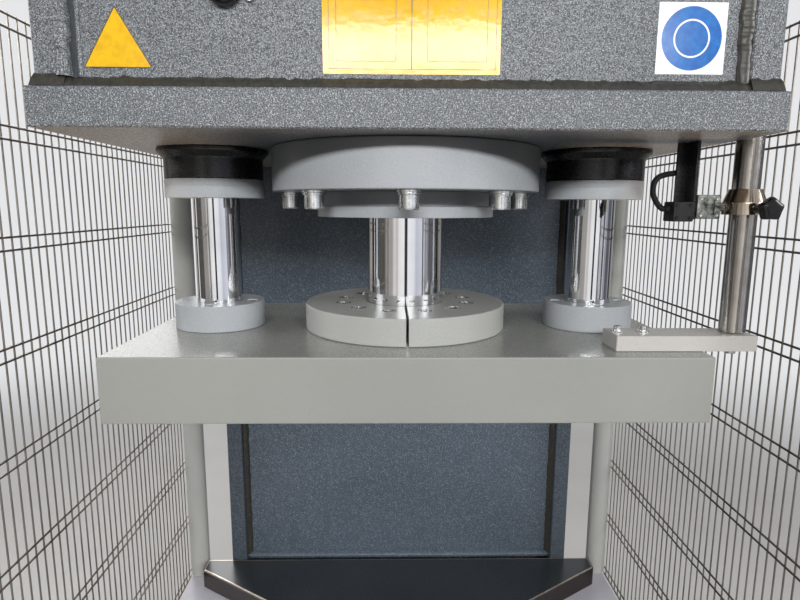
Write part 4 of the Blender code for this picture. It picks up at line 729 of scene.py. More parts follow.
def makeTrip():
    x, y, radius, low, high = roundNode("stroke_rod")
    rod = rodShape(radius, low, high, (x, y, 0), soft=tripParts["rodEdge"])
    addPiece("strokeRod", [rod], "ram", "groundBar", ["stroke_rod"])
    bore = radius + runningGap
    x, y, radius, low, high = roundNode("trip_collar")
    profile = [(bore, high), (radius - tripParts["coneIn"], high), (radius, low + tripParts["body"]),
               (radius, low), (bore, low)]
    collar = turnedShape(profile, (x, y, 0), soft=tripParts["edge"])
    addPiece("tripCollar", [collar], "trip", "turnedSteel", ["trip_collar"])


knobParts = {"lobes": 5, "lobeDepth": 0.1922, "length": 0.016, "hub": 0.0062, "hubFoot": 1.25,
             "hubTaper": 0.007, "hubSunk": 0.0025, "hubPast": 0.002, "stud": 0.004, "studEdge": 0.0005}


def makeClampKnob():
    low, high = nodeBox("clamp_knob")
    middle = (low + high) / 2
    front, back = low[1], high[1]
    length = knobParts["length"]
    # star knob over angle a and t from front to back: radius R sin^0.42 t (1 - d |sin 5a/2|^1.2 sin^0.5 t),
    # depth (1 - cos t) L / 2 with cos t raised to 0.7
    angle = fullTurn(160)
    t = np.linspace(0, np.pi, 33)
    dip = knobParts["lobeDepth"] * np.abs(np.sin(knobParts["lobes"] * angle / 2)) ** 1.2
    swell = (high[2] - middle[2]) * np.sin(t) ** 0.42
    size = swell[:, None] * (1 - dip[None] * np.sin(t)[:, None] ** 0.5)
    depth = front + length / 2 * (1 - np.sign(np.cos(t)) * np.abs(np.cos(t)) ** 0.7)
    grid = np.stack([middle[0] + size * np.sin(angle)[None], np.broadcast_to(depth[:, None], size.shape),
                     middle[2] + size * np.cos(angle)[None]], -1)
    collarY, collarRadius = roundNode("trip_collar")[1:3]
    hub, reach = knobParts["hub"], collarY - collarRadius - front - length + knobParts["hubPast"]
    profile = [(0, 0), (hub * knobParts["hubFoot"], 0), (hub, knobParts["hubTaper"]), (hub, reach),
               (0, reach)]
    neck = turnedShape(profile, (middle[0], front + length - knobParts["hubSunk"], middle[2]), (0, 1, 0),
                       steps=48, solid=True)
    addPiece("starKnob", [gridShape(grid, wrapV=True), neck], "clamp", "blackPolyamide",
             ["clamp_knob"], sharp=40)
    stud = rodShape(knobParts["stud"], front + length, back, (middle[0], 0, middle[2]), (0, 1, 0),
                    soft=knobParts["studEdge"], steps=32)
    addPiece("clampStud", [stud], "clamp", "brightZinc")


bracketParts = {"screwX": (0.3035, 0.3405), "screwY": -0.337, "screw": (0.0052, 0.0065, 0.0026),
                "washer": (0.00364, 0.009), "washerThick": 0.0016, "rodScrew": (0.0075, 0.007, 0.0035),
                "rodWasher": (0.004, 0.010), "washerGap": 0.0001, "washerEdge": 0.0004}


def makeBracketScrews():
    low, high = nodeBox("stroke_bracket")
    thick, edge = bracketParts["washerThick"], bracketParts["washerEdge"]
    screws, washers = [], []
    for x in bracketParts["screwX"]:
        spot = (x, bracketParts["screwY"])
        washers.append(ringShape(*bracketParts["washer"], high[2], high[2] + thick, (*spot, 0), soft=edge,
                                 steps=48))
        screws.append(screwShape((*spot, high[2] + thick), (0, 0, 1), *bracketParts["screw"], steps=48))
    # one screw from below holds the trip rod
    x, y = roundNode("stroke_rod")[:2]
    top = low[2] - bracketParts["washerGap"]
    washers.append(ringShape(*bracketParts["rodWasher"], top - thick, top, (x, y, 0), soft=edge, steps=40))
    screws.append(screwShape((x, y, top - thick), (0, 0, -1), *bracketParts["rodScrew"], steps=48))
    addPiece("bracketScrews", screws, "ram", "brightZinc")
    addPiece("bracketWashers", washers, "ram", "brightZinc")


makeRam()
makeCollar()
makeCylinder()
makeGuides()
makeTrip()
makeClampKnob()
makeBracketScrews()
print("ram, cylinder and guides made")

# bright chamfer round the table's top: a thin bead, a little inside each corner and mostly sunk
tableParts = {"chamfer": 0.0024, "inset": 0.0018, "sunk": 0.00216, "shortest": 0.004}


def makeTableEdge():
    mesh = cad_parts["table_plate"].data
    points = np.empty(len(mesh.vertices) * 3)
    mesh.vertices.foreach_get("co", points)
    points = points.reshape(-1, 3)
    rim = np.unique(np.round(points[points[:, 2] > points[:, 2].max() - 1e-5], 6), axis=0)
    middle = rim.mean(0)
    # corners of the top face in turn round its middle
    rim = rim[np.argsort(np.arctan2(rim[:, 1] - middle[1], rim[:, 0] - middle[0]))]
    inward = (middle - rim) / np.linalg.norm(middle - rim, axis=1)[:, None]
    rim = rim + inward * tableParts["inset"] - (0, 0, tableParts["sunk"])
    closed = np.vstack([rim, rim[:1]])
    beads = [tubeShape(np.linspace(a, b, 4), tableParts["chamfer"], 10, (0.02, 0.03, 1.0))
             for a, b in zip(closed[:-1], closed[1:]) if np.linalg.norm(b - a) > tableParts["shortest"]]
    addPiece("tableChamfer", beads, "frame", "groundEdge")


makeTableEdge()

# limit switch: "coverShare" of its depth is cover, a sunk core shows in the seam, a pocket holds the fork
switchParts = {"edge": 0.0018, "coverShare": 0.3, "seamHalf": 0.0003, "coreIn": 0.0015, "coreHalf": 0.001,
               "coreEdge": 0.0005, "coverScrew": (0.0022, 0.0012, 0.001), "coverInset": (0.005, 0.005),
               "headScrew": (0.0024, 0.0012, 0.0011), "headInset": (0.0055, 0.005), "clear": 0.0015,
               "travel": 0.0043, "lap": 0.004, "cheekLap": 0.003, "cheekEdge": 0.0008, "rollerEdge": 0.0006,
               "sheet": 0.002, "sheetEdge": 0.0005, "halfHeight": 0.004, "pin": 0.0035, "axle": 0.0017,
               "axleIn": 0.0002, "pinEdge": 0.0003}


def frontScrews(low, high, inset, screw):
    # one small screw in each corner of a box's front face
    return [screwShape((x, low[1] - 0.0001, z), (0, -1, 0), *screw, steps=32)
            for x in (low[0] + inset[0], high[0] - inset[0]) for z in (low[2] + inset[1], high[2] - inset[1])]


def makeSwitch():
    low, high = nodeBox("switch_body")
    edge, half = switchParts["edge"], switchParts["seamHalf"]
    seam = low[1] + (high[1] - low[1]) * switchParts["coverShare"]
    coreIn, coreHalf = switchParts["coreIn"], switchParts["coreHalf"]
    shapes = [blockShape(low, (high[0], seam - half, high[2]), edge),
              blockShape((low[0], seam + half, low[2]), high, edge),
              blockShape((low[0] + coreIn, seam - coreHalf, low[2] + coreIn),
                         (high[0] - coreIn, seam + coreHalf, high[2] - coreIn), switchParts["coreEdge"])]
    addPiece("switchBody", shapes, "frame", "mattBlackPlastic", ["switch_body"])
    screws = frontScrews(low, high, switchParts["coverInset"], switchParts["coverScrew"])
    addPiece("switchCoverScrews", screws, "frame", "blackPolyamide")

    rollerLow, rollerHigh = nodeBox("switch_roller")
    middle = (rollerLow + rollerHigh) / 2
    radius = middle[0] - rollerLow[0]
    forkLow, forkHigh = nodeBox("switch_plunger")
    sheet = switchParts["sheet"]
    forkBack = middle[0] - radius - runningGap - sheet

    # casting with a pocket for the fork: a back, two shelves and two cheeks, all rounded
    low, high = nodeBox("switch_head")
    wide = (forkHigh[1] - forkLow[1]) / 2 + switchParts["clear"]
    tall = radius + switchParts["clear"]
    floor = forkBack - switchParts["travel"]
    back, under, over = floor - switchParts["lap"], middle[2] - tall, middle[2] + tall
    lap, cheekEdge = switchParts["cheekLap"], switchParts["cheekEdge"]
    shapes = [blockShape(low, (floor, high[1], high[2]), edge),
              blockShape((back, low[1], over), high, edge),
              blockShape((back, low[1], low[2]), (high[0], high[1], under), edge),
              blockShape((back, low[1], under - lap), (high[0], middle[1] - wide, over + lap), cheekEdge),
              blockShape((back, middle[1] + wide, under - lap), (high[0], high[1], over + lap), cheekEdge)]
    addPiece("switchHead", shapes, "frame", "zincCasting", ["switch_head"])
    screws = frontScrews(low, high, switchParts["headInset"], switchParts["headScrew"])
    addPiece("switchHeadScrews", screws, "frame", "brightZinc")

    half = (rollerHigh[1] - rollerLow[1]) / 2
    roller = ringShape(switchParts["axle"] + runningGap, radius, -half, half, middle, (0, 1, 0),
                       soft=switchParts["rollerEdge"], steps=48)
    addPiece("switchRoller", [roller], "roller", "groundBar", ["switch_roller"])

    # fork of bent sheet on a pin, with the roller's axle across it
    bottom, top = middle[2] - switchParts["halfHeight"], middle[2] + switchParts["halfHeight"]
    shapes = [blockShape((forkBack, y, bottom), (forkHigh[0], y + sheet, top), switchParts["sheetEdge"])
              for y in (forkLow[1], forkHigh[1] - sheet)]
    shapes.append(blockShape((forkBack, forkLow[1], bottom), (forkBack + sheet, forkHigh[1], top),
                             switchParts["sheetEdge"]))
    shapes.append(rodShape(switchParts["pin"], forkLow[0], forkBack + sheet / 2, (0, middle[1], middle[2]),
                           (1, 0, 0), soft=switchParts["pinEdge"], steps=32))
    shapes.append(rodShape(switchParts["axle"], forkLow[1] + switchParts["axleIn"],
                           forkHigh[1] - switchParts["axleIn"], (middle[0], 0, middle[2]), (0, 1, 0),
                           soft=switchParts["pinEdge"], steps=24))
    addPiece("switchPlunger", shapes, "plunger", "brightZinc", ["switch_plunger"])


# gland nut: shares of its radius and length; cable: its loop as steps left of the gland, back and up
cableParts = {"nutCorner": 0.9, "nutEnd": 0.35, "coneStart": 0.86, "coneEnd": 0.72, "radius": 0.0041,
              "ribs": 0.0021, "ribHeight": 0.0006, "standoff": 0.002, "stub": 0.003,
              "loop": [(0.0090, 0.0, 0.0044), (0.0148, 0.001, 0.0137), (0.0165, 0.004, 0.0230),
                       (0.0134, 0.009, 0.0350), (0.0045, 0.016, 0.0435)],
              "turnBehind": (0.0100, 0.002, 0.0480), "alongStrap": [(0.006, 0.0515), (0.013, 0.0640)],
              "upStrap": 0.0135}


def makeCable():
    low, high = nodeBox("cable_gland")
    x, y, z = low[0], (low[1] + high[1]) / 2, (low[2] + high[2]) / 2
    radius = (high[2] - low[2]) / 2
    # gland nut: a hexagon with rounded corners near the body, a short cone at the cable's end
    angle = fullTurn(72)
    nut = radius * np.minimum(hexagonReach(angle) * cableParts["nutCorner"], 1.0)
    shoulder = low[0] + (high[0] - low[0]) * cableParts["nutEnd"]
    rows = [(0, high[0]), (nut, high[0]), (nut, shoulder),
            (radius * cableParts["coneStart"], shoulder - runningGap), (radius * cableParts["coneEnd"], x),
            (0, x)]
    addPiece("glandNut", [rimShape(rows, angle, (0, y, z), (1, 0, 0))], "frame", "mattBlackPlastic",
             ["cable_gland"])

    strapLow, strapHigh = nodeBox("switch_strap")
    end = nodeBox("switch_cable")[1][2]
    radius = cableParts["radius"]
    behind = strapHigh[1] + radius + cableParts["standoff"]
    start = (x - runningGap, y, z)
    turnX, turnY, turnZ = cableParts["turnBehind"]
    route = [(start[0] - cableParts["stub"], y, z)]
    route += [(x - left, y + back, z + up) for left, back, up in cableParts["loop"]]
    route.append((x + turnX, behind - turnY, z + turnZ))
    route += [(strapLow[0] + right, behind, z + up) for right, up in cableParts["alongStrap"]]
    route.append((strapLow[0] + cableParts["upStrap"], behind, end))
    path = np.vstack([np.linspace(start, route[0], 12)[:-1], smoothPath(route, 40)])
    # ribbed sheath: radius r - h (1 + cos(2 pi s / pitch)) / 2 at the length s along it
    length = np.concatenate([[0], np.cumsum(np.linalg.norm(np.diff(path, axis=0), axis=1))])
    ribbed = radius - cableParts["ribHeight"] * (0.5 + 0.5 * np.cos(2 * np.pi * length / cableParts["ribs"]))
    print("switch cable length", round(float(length[-1]), 4))
    addPiece("switchCable", [tubeShape(path, ribbed, 20, (0.0, 1.0, 0.35))], "frame", "mattBlackPlastic",
             ["switch_cable"], sharp=80)


makeSwitch()
makeCable()
print("limit switch made")

# black knob and the small screw beside it on the head's front; shares of the knob's depth and radius
frontParts = {"crownFrom": 0.45, "rimAt": 0.2, "seat": 0.8, "screwX": -0.1854, "screwDrop": 0.0087,
              "screw": (0.0058, 0.005, 0.0024)}


def makeFrontKnob():
    low, high = nodeBox("front_knob")
    middle = (low + high) / 2
    radius = (high[0] - low[0]) / 2
    depth = high[1] - low[1]
    # crowned cap: a quarter ellipse r sin t, h cos t over its front
    t = np.linspace(0, np.pi / 2, 14)
    base = depth * frontParts["crownFrom"]
    crown = np.stack([radius * np.sin(t), base + (depth - base) * np.cos(t)], -1)
    rim, seat = depth * frontParts["rimAt"], radius * frontParts["seat"]
    profile = np.vstack([crown, [(radius, rim), (seat, 0), (0, 0)]])
    knob = turnedShape(profile, (middle[0], high[1], middle[2]), (0, -1, 0), solid=True)
    addPiece("frontKnob", [knob], "selector", "blackPolyamide", ["front_knob"])
    screw = screwShape((frontParts["screwX"], high[1], middle[2] - frontParts["screwDrop"]), (0, -1, 0),
                       *frontParts["screw"], steps=48)
    addPiece("frontScrew", [screw], "frame", "brightZinc")


makeFrontKnob()

# side guards of welded wire on round posts: uprights, and pairs of level wires
guardParts = {"upright": 0.0197, "uprightThick": 0.0027, "margin": 0.01, "pairThick": 0.0036,
              "pairApart": 0.0182, "pairPitch": 0.152, "pairs": 9, "pairRise": 0.0024, "postEdge": 0.002,
              "footRadius": 0.0293, "footThick": 0.008, "footGap": (0.0002, 0.0001), "footEdge": 0.001}


def makeGuards():
    pitch = guardParts["upright"]
    thin, thick = guardParts["uprightThick"] / 2, guardParts["pairThick"] / 2
    for side, end in ((-1, "left"), (1, "right")):
        low, high = nodeBox("guard_mesh_" + end)
        middle = (low[0] + high[0]) / 2
        front, back = low[1], high[1]
        count = int((back - front - guardParts["margin"]) / pitch)
        first = (front + back - count * pitch) / 2
        x = middle + side * (thick - thin)
        wires = [tubeShape([(x, y, low[2]), (x, y, high[2])], thin, 8, (0, 1, 0))
                 for y in first + pitch * np.arange(count + 1)]
        for k in range(guardParts["pairs"]):
            for rise in (0, guardParts["pairApart"]):
                z = low[2] + guardParts["pairRise"] + k * guardParts["pairPitch"] + rise
                wires.append(tubeShape([(middle, front, z), (middle, back, z)], thick, 10, (0, 0, 1)))
        addPiece("guardWires_" + end, wires, "frame", "drawnWire", ["guard_mesh_" + end],
                 sharp=60)
        for name in ("front", "rear"):
            x, y, radius, low, high = roundNode("guard_post_" + name + "_" + end)
            post = turnedShape([(0, high), (radius, high), (radius, low), (0, low)], (x, y, 0), steps=64,
                               soft=guardParts["postEdge"], solid=True)
            addPiece("guardPost_" + name + "_" + end, [post], "frame", "postEnamel",
                     ["guard_post_" + name + "_" + end])
        x, y, radius, low, high = roundNode("guard_post_front_" + end)
        gapOut, gapUp = guardParts["footGap"]
        foot = ringShape(radius + gapOut, guardParts["footRadius"], low + gapUp, low + guardParts["footThick"],
                         (x, y, 0), soft=guardParts["footEdge"], steps=64)
        addPiece("postFeet_" + end, [foot], "frame", "postEnamel")


makeGuards()
print("guards made")

# corner welds: how far each reaches up its wall and out over its floor; "sunk" is how deep all roots go
weldParts = {"head": (0.0118, 0.0119), "end": (0.0138, 0.0078), "side": (0.0160, 0.0098),
             "throat": (0.011, 0.011), "base": (0.009, 0.012), "sunk": 0.0003, "start": 0.002}
# upright seams of the front plate: place, half width, height, how far above the plate each starts, seed; the
# groove is a flat strip that carries painted shade
seams = {"right": (0.3912, 0.0090, 0.0050, 0.0, 8), "broadLeft": (-0.4006, 0.0085, 0.0108, 0.0115, 14),
         "thinLeft": (-0.3828, 0.0026, 0.0026, 0.0115, 12), "groove": (-0.3889, 0.0058, 0.0006, 0.0, 9)}
# the welder's hand in each kind: grid step, pitch of the slow swings and of the ripples, and the ripples' lag,
# then how much of a swing and of a ripple goes into each width and height, as shares of them
hands = {"corner": {"step": 0.0022, "swing": 0.007, "ripple": 0.0065, "lag": 0.7, "wall": (0.06, 0.06),
                    "floor": (0.04, 0.03), "belly": 0.112, "bellyShares": (0.6, 0.5)},
         "flat": {"step": 0.0016, "swing": 0.009, "ripple": 0.0058, "lag": 0.8, "width": (0.08, 0.05),
                  "height": (0.1, 0.1), "sway": 0.06}}


def weldPath(start, end, hand, seed):
    # points along a weld, four slow random swings, and ripples |sin(pi s / pitch + lag w)| at the length s
    start, end = np.array(start, float), np.array(end, float)
    length = np.linalg.norm(end - start)
    s = np.linspace(0, length, max(12, int(length / hand["step"])))
    knots = np.linspace(0, length, max(4, int(length / hand["swing"])))
    own = np.random.default_rng(seed)
    swings = [np.interp(s, knots, own.normal(0, 1, len(knots))) for _ in range(4)]
    ripple = np.abs(np.sin(np.pi * s / hand["ripple"] + hand["lag"] * swings[2]))
    return start + (end - start) * (s / length)[:, None], swings, ripple


def filletBead(start, end, wall, floor, sizes, seed):
    # weld in a corner, t from wall to floor: up a (1 - t) + bulge, out b t + bulge, the bulge k sin(pi t)
    wall, floor = np.array(wall, float), np.array(floor, float)
    hand = hands["corner"]
    path, swings, ripple = weldPath(start, end, hand, seed)
    onWall = sizes[0] * (1 + hand["wall"][0] * swings[0] + hand["wall"][1] * ripple)
    onFloor = sizes[1] * (1 - hand["floor"][0] * np.abs(swings[1]) - hand["floor"][1] * ripple)
    t = np.linspace(0, 1, 7)
    even, waves = hand["bellyShares"]
    bulge = hand["belly"] * (even + waves * ripple[:, None]) * np.sin(np.pi * t)[None]
    up = onWall[:, None] * (1 - t)[None] + bulge * sizes[0]
    out = onFloor[:, None] * t[None] + bulge * sizes[1]
    skin = path[:, None] + up[..., None] * wall + out[..., None] * floor
    root = path[:, None] - (wall + floor) * weldParts["sunk"]
    return gridShape(np.concatenate([skin, root], 1), wrapV=True, capStart=True, capEnd=True)


def ridgeBead(start, end, across, out, half, height, seed):
    # weld on a flat seam: half an ellipse w cos a, h sin a swept along it, swaying a little sideways
    across, out = np.array(across, float), np.array(out, float)
    hand = hands["flat"]
    path, swings, ripple = weldPath(start, end, hand, seed)
    wide = half * (1 + hand["width"][0] * swings[0] + hand["width"][1] * ripple)[:, None]
    tall = height * (1 + hand["height"][0] * swings[1] + hand["height"][1] * ripple)[:, None]
    angle = np.linspace(0, np.pi, 11)[None]
    path = path + across * (half * hand["sway"] * swings[3])[:, None]
    skin = path[:, None] + (wide * np.cos(angle))[..., None] * across + (tall * np.sin(angle))[..., None] * out
    root = path[:, None] - out * weldParts["sunk"]
    return gridShape(np.concatenate([skin, root], 1), wrapV=True, capStart=True, capEnd=True)


def makeWelds():
    top, under = nodeBox("head_bottom_plate")[1][2], nodeBox("head_bottom_plate")[0][2]
    frontLow, frontHigh = nodeBox("head_front_plate")
    sideLow, sideHigh = nodeBox("side_plate_right")
    throat = nodeBox("throat_plate")[0][1]
    table = nodeBox("table_plate")[1][2]
    up, toward = (0, 0, 1), (0, -1, 0)
    face, sideFace = frontLow[1], sideLow[1]
    inner, outer = sideLow[0], sideHigh[0]

    def seam(name):
        x, half, height, lift, seed = seams[name]
        return ridgeBead((x, face, top + lift), (x, face, frontHigh[2]), (1, 0, 0), toward, half, height, seed)

    beads = [filletBead((-inner, face, top), (inner, face, top), up, toward, weldParts["head"], 3)]
    for side in (-1, 1):
        inward, outward = (-side, 0, 0), (side, 0, 0)
        # in front of the side plate's edge, along its outer face, and down its corner with the throat plate
        beads.append(filletBead((side * inner, sideFace, top), (side * outer, sideFace, top), up, toward,
                                weldParts["end"], 20 + side))
        beads.append(filletBead((side * outer, sideFace + weldParts["start"], top),
                                (side * outer, throat, top), up, outward, weldParts["side"], 30 + side))
        beads.append(filletBead((side * inner, throat, table), (side * inner, throat, under), inward, toward,
                                weldParts["throat"], 40 + side))
    # a smooth bead on the front plate's right, two rough ridges on its left, and a flat strip of painted shade
    # for the groove there
    addPiece("headWelds", beads + [seam("right")], "frame", "weldEnamelPaintedShade", sharp=50)
    addPiece("seamRidges", [seam("broadLeft"), seam("thinLeft")], "frame", "hammertoneEnamel",
             sharp=50)
    base = filletBead((-inner, throat, table), (inner, throat, table), up, toward, weldParts["base"], 61)
    addPiece("throatBaseWeld", [base], "frame", "throatEnamel", sharp=50)
    addPiece("grooveStripPaintedShade", [seam("groove")], "frame", "seamPaintedShade", sharp=50)


makeWelds()
print("welds made")

# plain fields in safety colours on the head's front: left, low, right, high, over the platen's top
signs = {"triangle": [(-0.3793, 0.3562), (-0.3005, 0.3562), (-0.3397, 0.4236)], "triangleCorner": 0.003,
         "triangleLine": 0.001, "yellow": (-0.1035, 0.3513, 0.1035, 0.4563),
         "border": (-0.0965, 0.3568, 0.0985, 0.4513), "fold": (-0.0006, 0.3573, 0.0006, 0.4508),
         "fields": [(-0.088, 0.3655, -0.018, 0.4445), (0.018, 0.3655, 0.088, 0.4445)],
         "white": (0.2864, 0.354, 0.367, 0.4335), "disc": (0.3267, 0.3938), "discRadius": 0.0355,
         "ringRadius": 0.0215, "ringWidth": 0.002, "off": 0.00005, "thick": 0.0005, "ink": 0.00015,
         "line": 0.0006}


def rectangle(x0, y0, x1, y1, soft=0.0, steps=5):
    # outline with round corners: a quarter circle of the radius soft about each corner's own centre
    out = []
    for x, y, start in ((x1, y1, 0), (x0, y1, 90), (x0, y0, 180), (x1, y0, 270)):
        cx = x - soft if x == x1 else x + soft
        cy = y - soft if y == y1 else y + soft
        angle = np.radians(start + np.linspace(0, 90, steps if soft else 1))
        out.append(np.stack([cx + soft * np.cos(angle), cy + soft * np.sin(angle)], -1))
    return np.vstack(out)


def makeSigns():
    face = nodeBox("head_front_plate")[0][1]
    place = ((0, face, nodeBox("platen")[1][2]), (1, 0, 0), (0, 0, 1))
    off, thick, ink = signs["off"], signs["thick"], signs["ink"]
    inkTop = thick + ink

    def addSign(name, shapes, finish):
        addPiece(name, shapes, "frame", finish)

    def field(outline, low=off, high=thick):
        return slabShape(outline, *place, low, high)

    def line(outline, width=signs["line"]):
        return frameShape(outline, width, *place, thick - off, inkTop)

    triangle = softCorners(signs["triangle"], signs["triangleCorner"], 5)
    addSign("triangleSign", [field(triangle)], "yellowVinyl")
    addSign("triangleSignInk", [line(triangle, signs["triangleLine"])], "brownInk")

    addSign("yellowSign", [field(rectangle(*signs["yellow"], 0.001))], "yellowVinyl")
    lines = [line(rectangle(*signs["border"], 0.001)), field(rectangle(*signs["fold"]), thick - off, inkTop)]
    lines += [line(rectangle(*own, 0.002)) for own in signs["fields"]]
    addSign("yellowSignInk", lines, "brownInk")

    addSign("whiteSign", [field(rectangle(*signs["white"], 0.001))], "whiteVinyl")
    angle = fullTurn(96)
    circle = np.stack([np.cos(angle), np.sin(angle)], -1)
    middle = np.array(signs["disc"])
    addSign("blueDisc", [field(middle + signs["discRadius"] * circle, thick - off, inkTop)], "blueInk")
    ring = frameShape(middle + signs["ringRadius"] * circle, signs["ringWidth"], *place, inkTop - off,
                      inkTop + ink)
    addSign("discRing", [ring], "whiteVinyl")


makeSigns()
print("signs made")

# motor on the roof: a finned barrel on two feet, with an end shield, a terminal box and a fan cowl
motorParts = {"fins": 28, "finHeight": 0.009, "coreIn": 0.0144, "cowl": 0.07, "barrelEnd": 0.030,
              "shield": (0.9, 0.006, 0.012, 0.001), "foot": (0.05, 0.08, 0.012),
              "rib": (0.055, 0.012, 0.010, 0.62), "box": (0.09, 0.19, 0.002, 0.02, 0.045), "cowlIn": 0.001,
              "cowlRound": (0.012, 0.010), "cowlLap": (0.008, 0.002, 0.006), "rings": 6, "ringPitch": 0.12,
              "ring": (0.004, -0.0012, 0.0006)}
alongX = (1, 0, 0)


def makeMotor():
    low, high = nodeBox("pump_motor")
    y = (low[1] + high[1]) / 2
    radius = (high[1] - low[1]) / 2
    z = high[2] - radius
    length = high[0] - low[0]
    core = radius - motorParts["coreIn"]
    centre = (low[0], y, z)
    # ribbed barrel: radius core + fin over the narrow part of each pitch, where cos(n a) > 0.35
    angle = fullTurn(motorParts["fins"] * 8)
    fin = core + (np.cos(angle * motorParts["fins"]) > 0.35) * motorParts["finHeight"]
    start, end = motorParts["cowl"], length - motorParts["barrelEnd"]
    shapes = [rimShape([(0, start), (fin, start), (fin, end), (0, end)], angle, centre, alongX)]
    share, proud, slope, lap = motorParts["shield"]
    shapes.append(turnedShape([(0, length), (core * share, length), (core + proud, length - slope),
                               (core + proud, end - lap), (0, end - lap)], centre, alongX, solid=True))
    inset, half, thick = motorParts["foot"]
    shapes.append(blockShape((low[0] + inset, y - half, low[2]), (high[0] - inset, y + half, low[2] + thick),
                             0.002))
    out, half, rise, share = motorParts["rib"]
    for side in (-1, 1):
        shapes.append(blockShape((low[0] + out, y + side * out - half, low[2] + rise),
                                 (high[0] - out, y + side * out + half, z - core * share), 0.003))
    near, far, front, sunk, half = motorParts["box"]
    shapes.append(blockShape((low[0] + near, y - radius + front, z - half),
                             (low[0] + far, y - core + sunk, z + half), 0.006))
    addPiece("motorBody", shapes, "frame", "darkBlueEnamel", ["pump_motor"])

    outer = radius - motorParts["cowlIn"]
    roundIn, roundUp = motorParts["cowlRound"]
    lap, thick, back = motorParts["cowlLap"]
    cowl = turnedShape([(0, 0), (outer - roundIn, 0.0), (outer, roundUp), (outer, start + lap),
                        (outer - thick, start + lap), (0, start + back)], centre, alongX, solid=True)
    addPiece("fanCowl", [cowl], "frame", "glossBlackPaint")
    wide, bottom, top = motorParts["ring"]
    radii = outer * motorParts["ringPitch"] * np.arange(1, motorParts["rings"] + 1)
    grille = [ringShape(inner, inner + wide, bottom, top, centre, alongX, soft=0.0003, steps=64)
              for inner in radii]
    addPiece("cowlGrille", grille, "frame", "brightZinc")


# bell: its motor flange, neck and cone, each a radius and a length; pump: shares of its radius and length
pumpParts = {"flange": (0.062, 0.012), "neck": (0.052, 0.02), "cone": (0.012, 0.024), "rim": 0.016,
             "nose": (0.8, 0.86), "chamfer": 0.006, "shoulder": (0.5, 0.46)}


def makePump():
    low, high = nodeBox("pump_bell")
    middle = (low + high) / 2
    radius, length = (high[2] - low[2]) / 2, high[0] - low[0]
    flange, thick = pumpParts["flange"]
    neck, neckFrom = pumpParts["neck"]
    coneIn, coneAt = pumpParts["cone"]
    bell = turnedShape([(0, length), (flange, length), (flange, length - thick), (neck, length - neckFrom),
                        (radius - coneIn, coneAt), (radius, pumpParts["rim"]), (radius, 0), (0, 0)],
                       (low[0], middle[1], middle[2]), alongX, solid=True)
    addPiece("pumpBell", [bell], "frame", "zincCasting", ["pump_bell"])

    low, high = nodeBox("pump_body")
    radius, length = (high[2] - low[2]) / 2, high[0] - low[0]
    tip, nose = (radius * share for share in pumpParts["nose"])
    noseFrom, bodyTo = (length * share for share in pumpParts["shoulder"])
    body = turnedShape([(0, length), (tip, length), (nose, length - pumpParts["chamfer"]), (nose, noseFrom),
                        (radius, bodyTo), (radius, 0), (0, 0)], (low[0], middle[1], middle[2]), alongX,
                       solid=True)
    addPiece("pumpBody", [body], "frame", "zincCasting", ["pump_body"])


tankParts = {"lidScrews": 6, "lidInset": (0.02, 0.015), "lidScrew": (0.0065, 0.006, 0.003),
             "breatherAt": (0.07, 0.08),
             "breather": [(0, 0.055), (0.026, 0.055), (0.030, 0.048), (0.030, 0.018), (0.022, 0.014),
                          (0.022, 0.0), (0, 0)],
             "gauge": (0.009, 0.0065), "gaugeX": 0.22, "gaugeRise": (0.06, 0.16)}


def makeTankFittings():
    low, high = nodeBox("tank_lid")
    inX, inY = tankParts["lidInset"]
    screws = [screwShape((x, y, high[2]), (0, 0, 1), *tankParts["lidScrew"], steps=36)
              for x in np.linspace(low[0] + inX, high[0] - inX, tankParts["lidScrews"])
              for y in (low[1] + inY, high[1] - inY)]
    addPiece("lidScrews", screws, "frame", "brightZinc")
    left, back = tankParts["breatherAt"]
    breather = turnedShape(tankParts["breather"], (high[0] - left, low[1] + back, high[2]), solid=True,
                           steps=64)
    addPiece("fillerBreather", [breather], "frame", "blackPolyamide")
    low = nodeBox("oil_tank")[0]
    radius, proud = tankParts["gauge"]
    ends = [rodShape(radius, 0, proud, (tankParts["gaugeX"], low[1], low[2] + rise), (0, -1, 0), steps=40)
            for rise in tankParts["gaugeRise"]]
    addPiece("gaugeEnds", ends, "frame", "blackPolyamide")


# pressure pipe: straight stretches at its ends, how far it stays off the tank, and its nuts
pipeParts = {"radius": 0.011, "out": 0.05, "clear": 0.10, "above": 0.06, "nut": (0.0175, 0.0195),
             "nutFrom": 0.0005, "nutTo": 0.018, "cone": (0.0135, 0.024)}


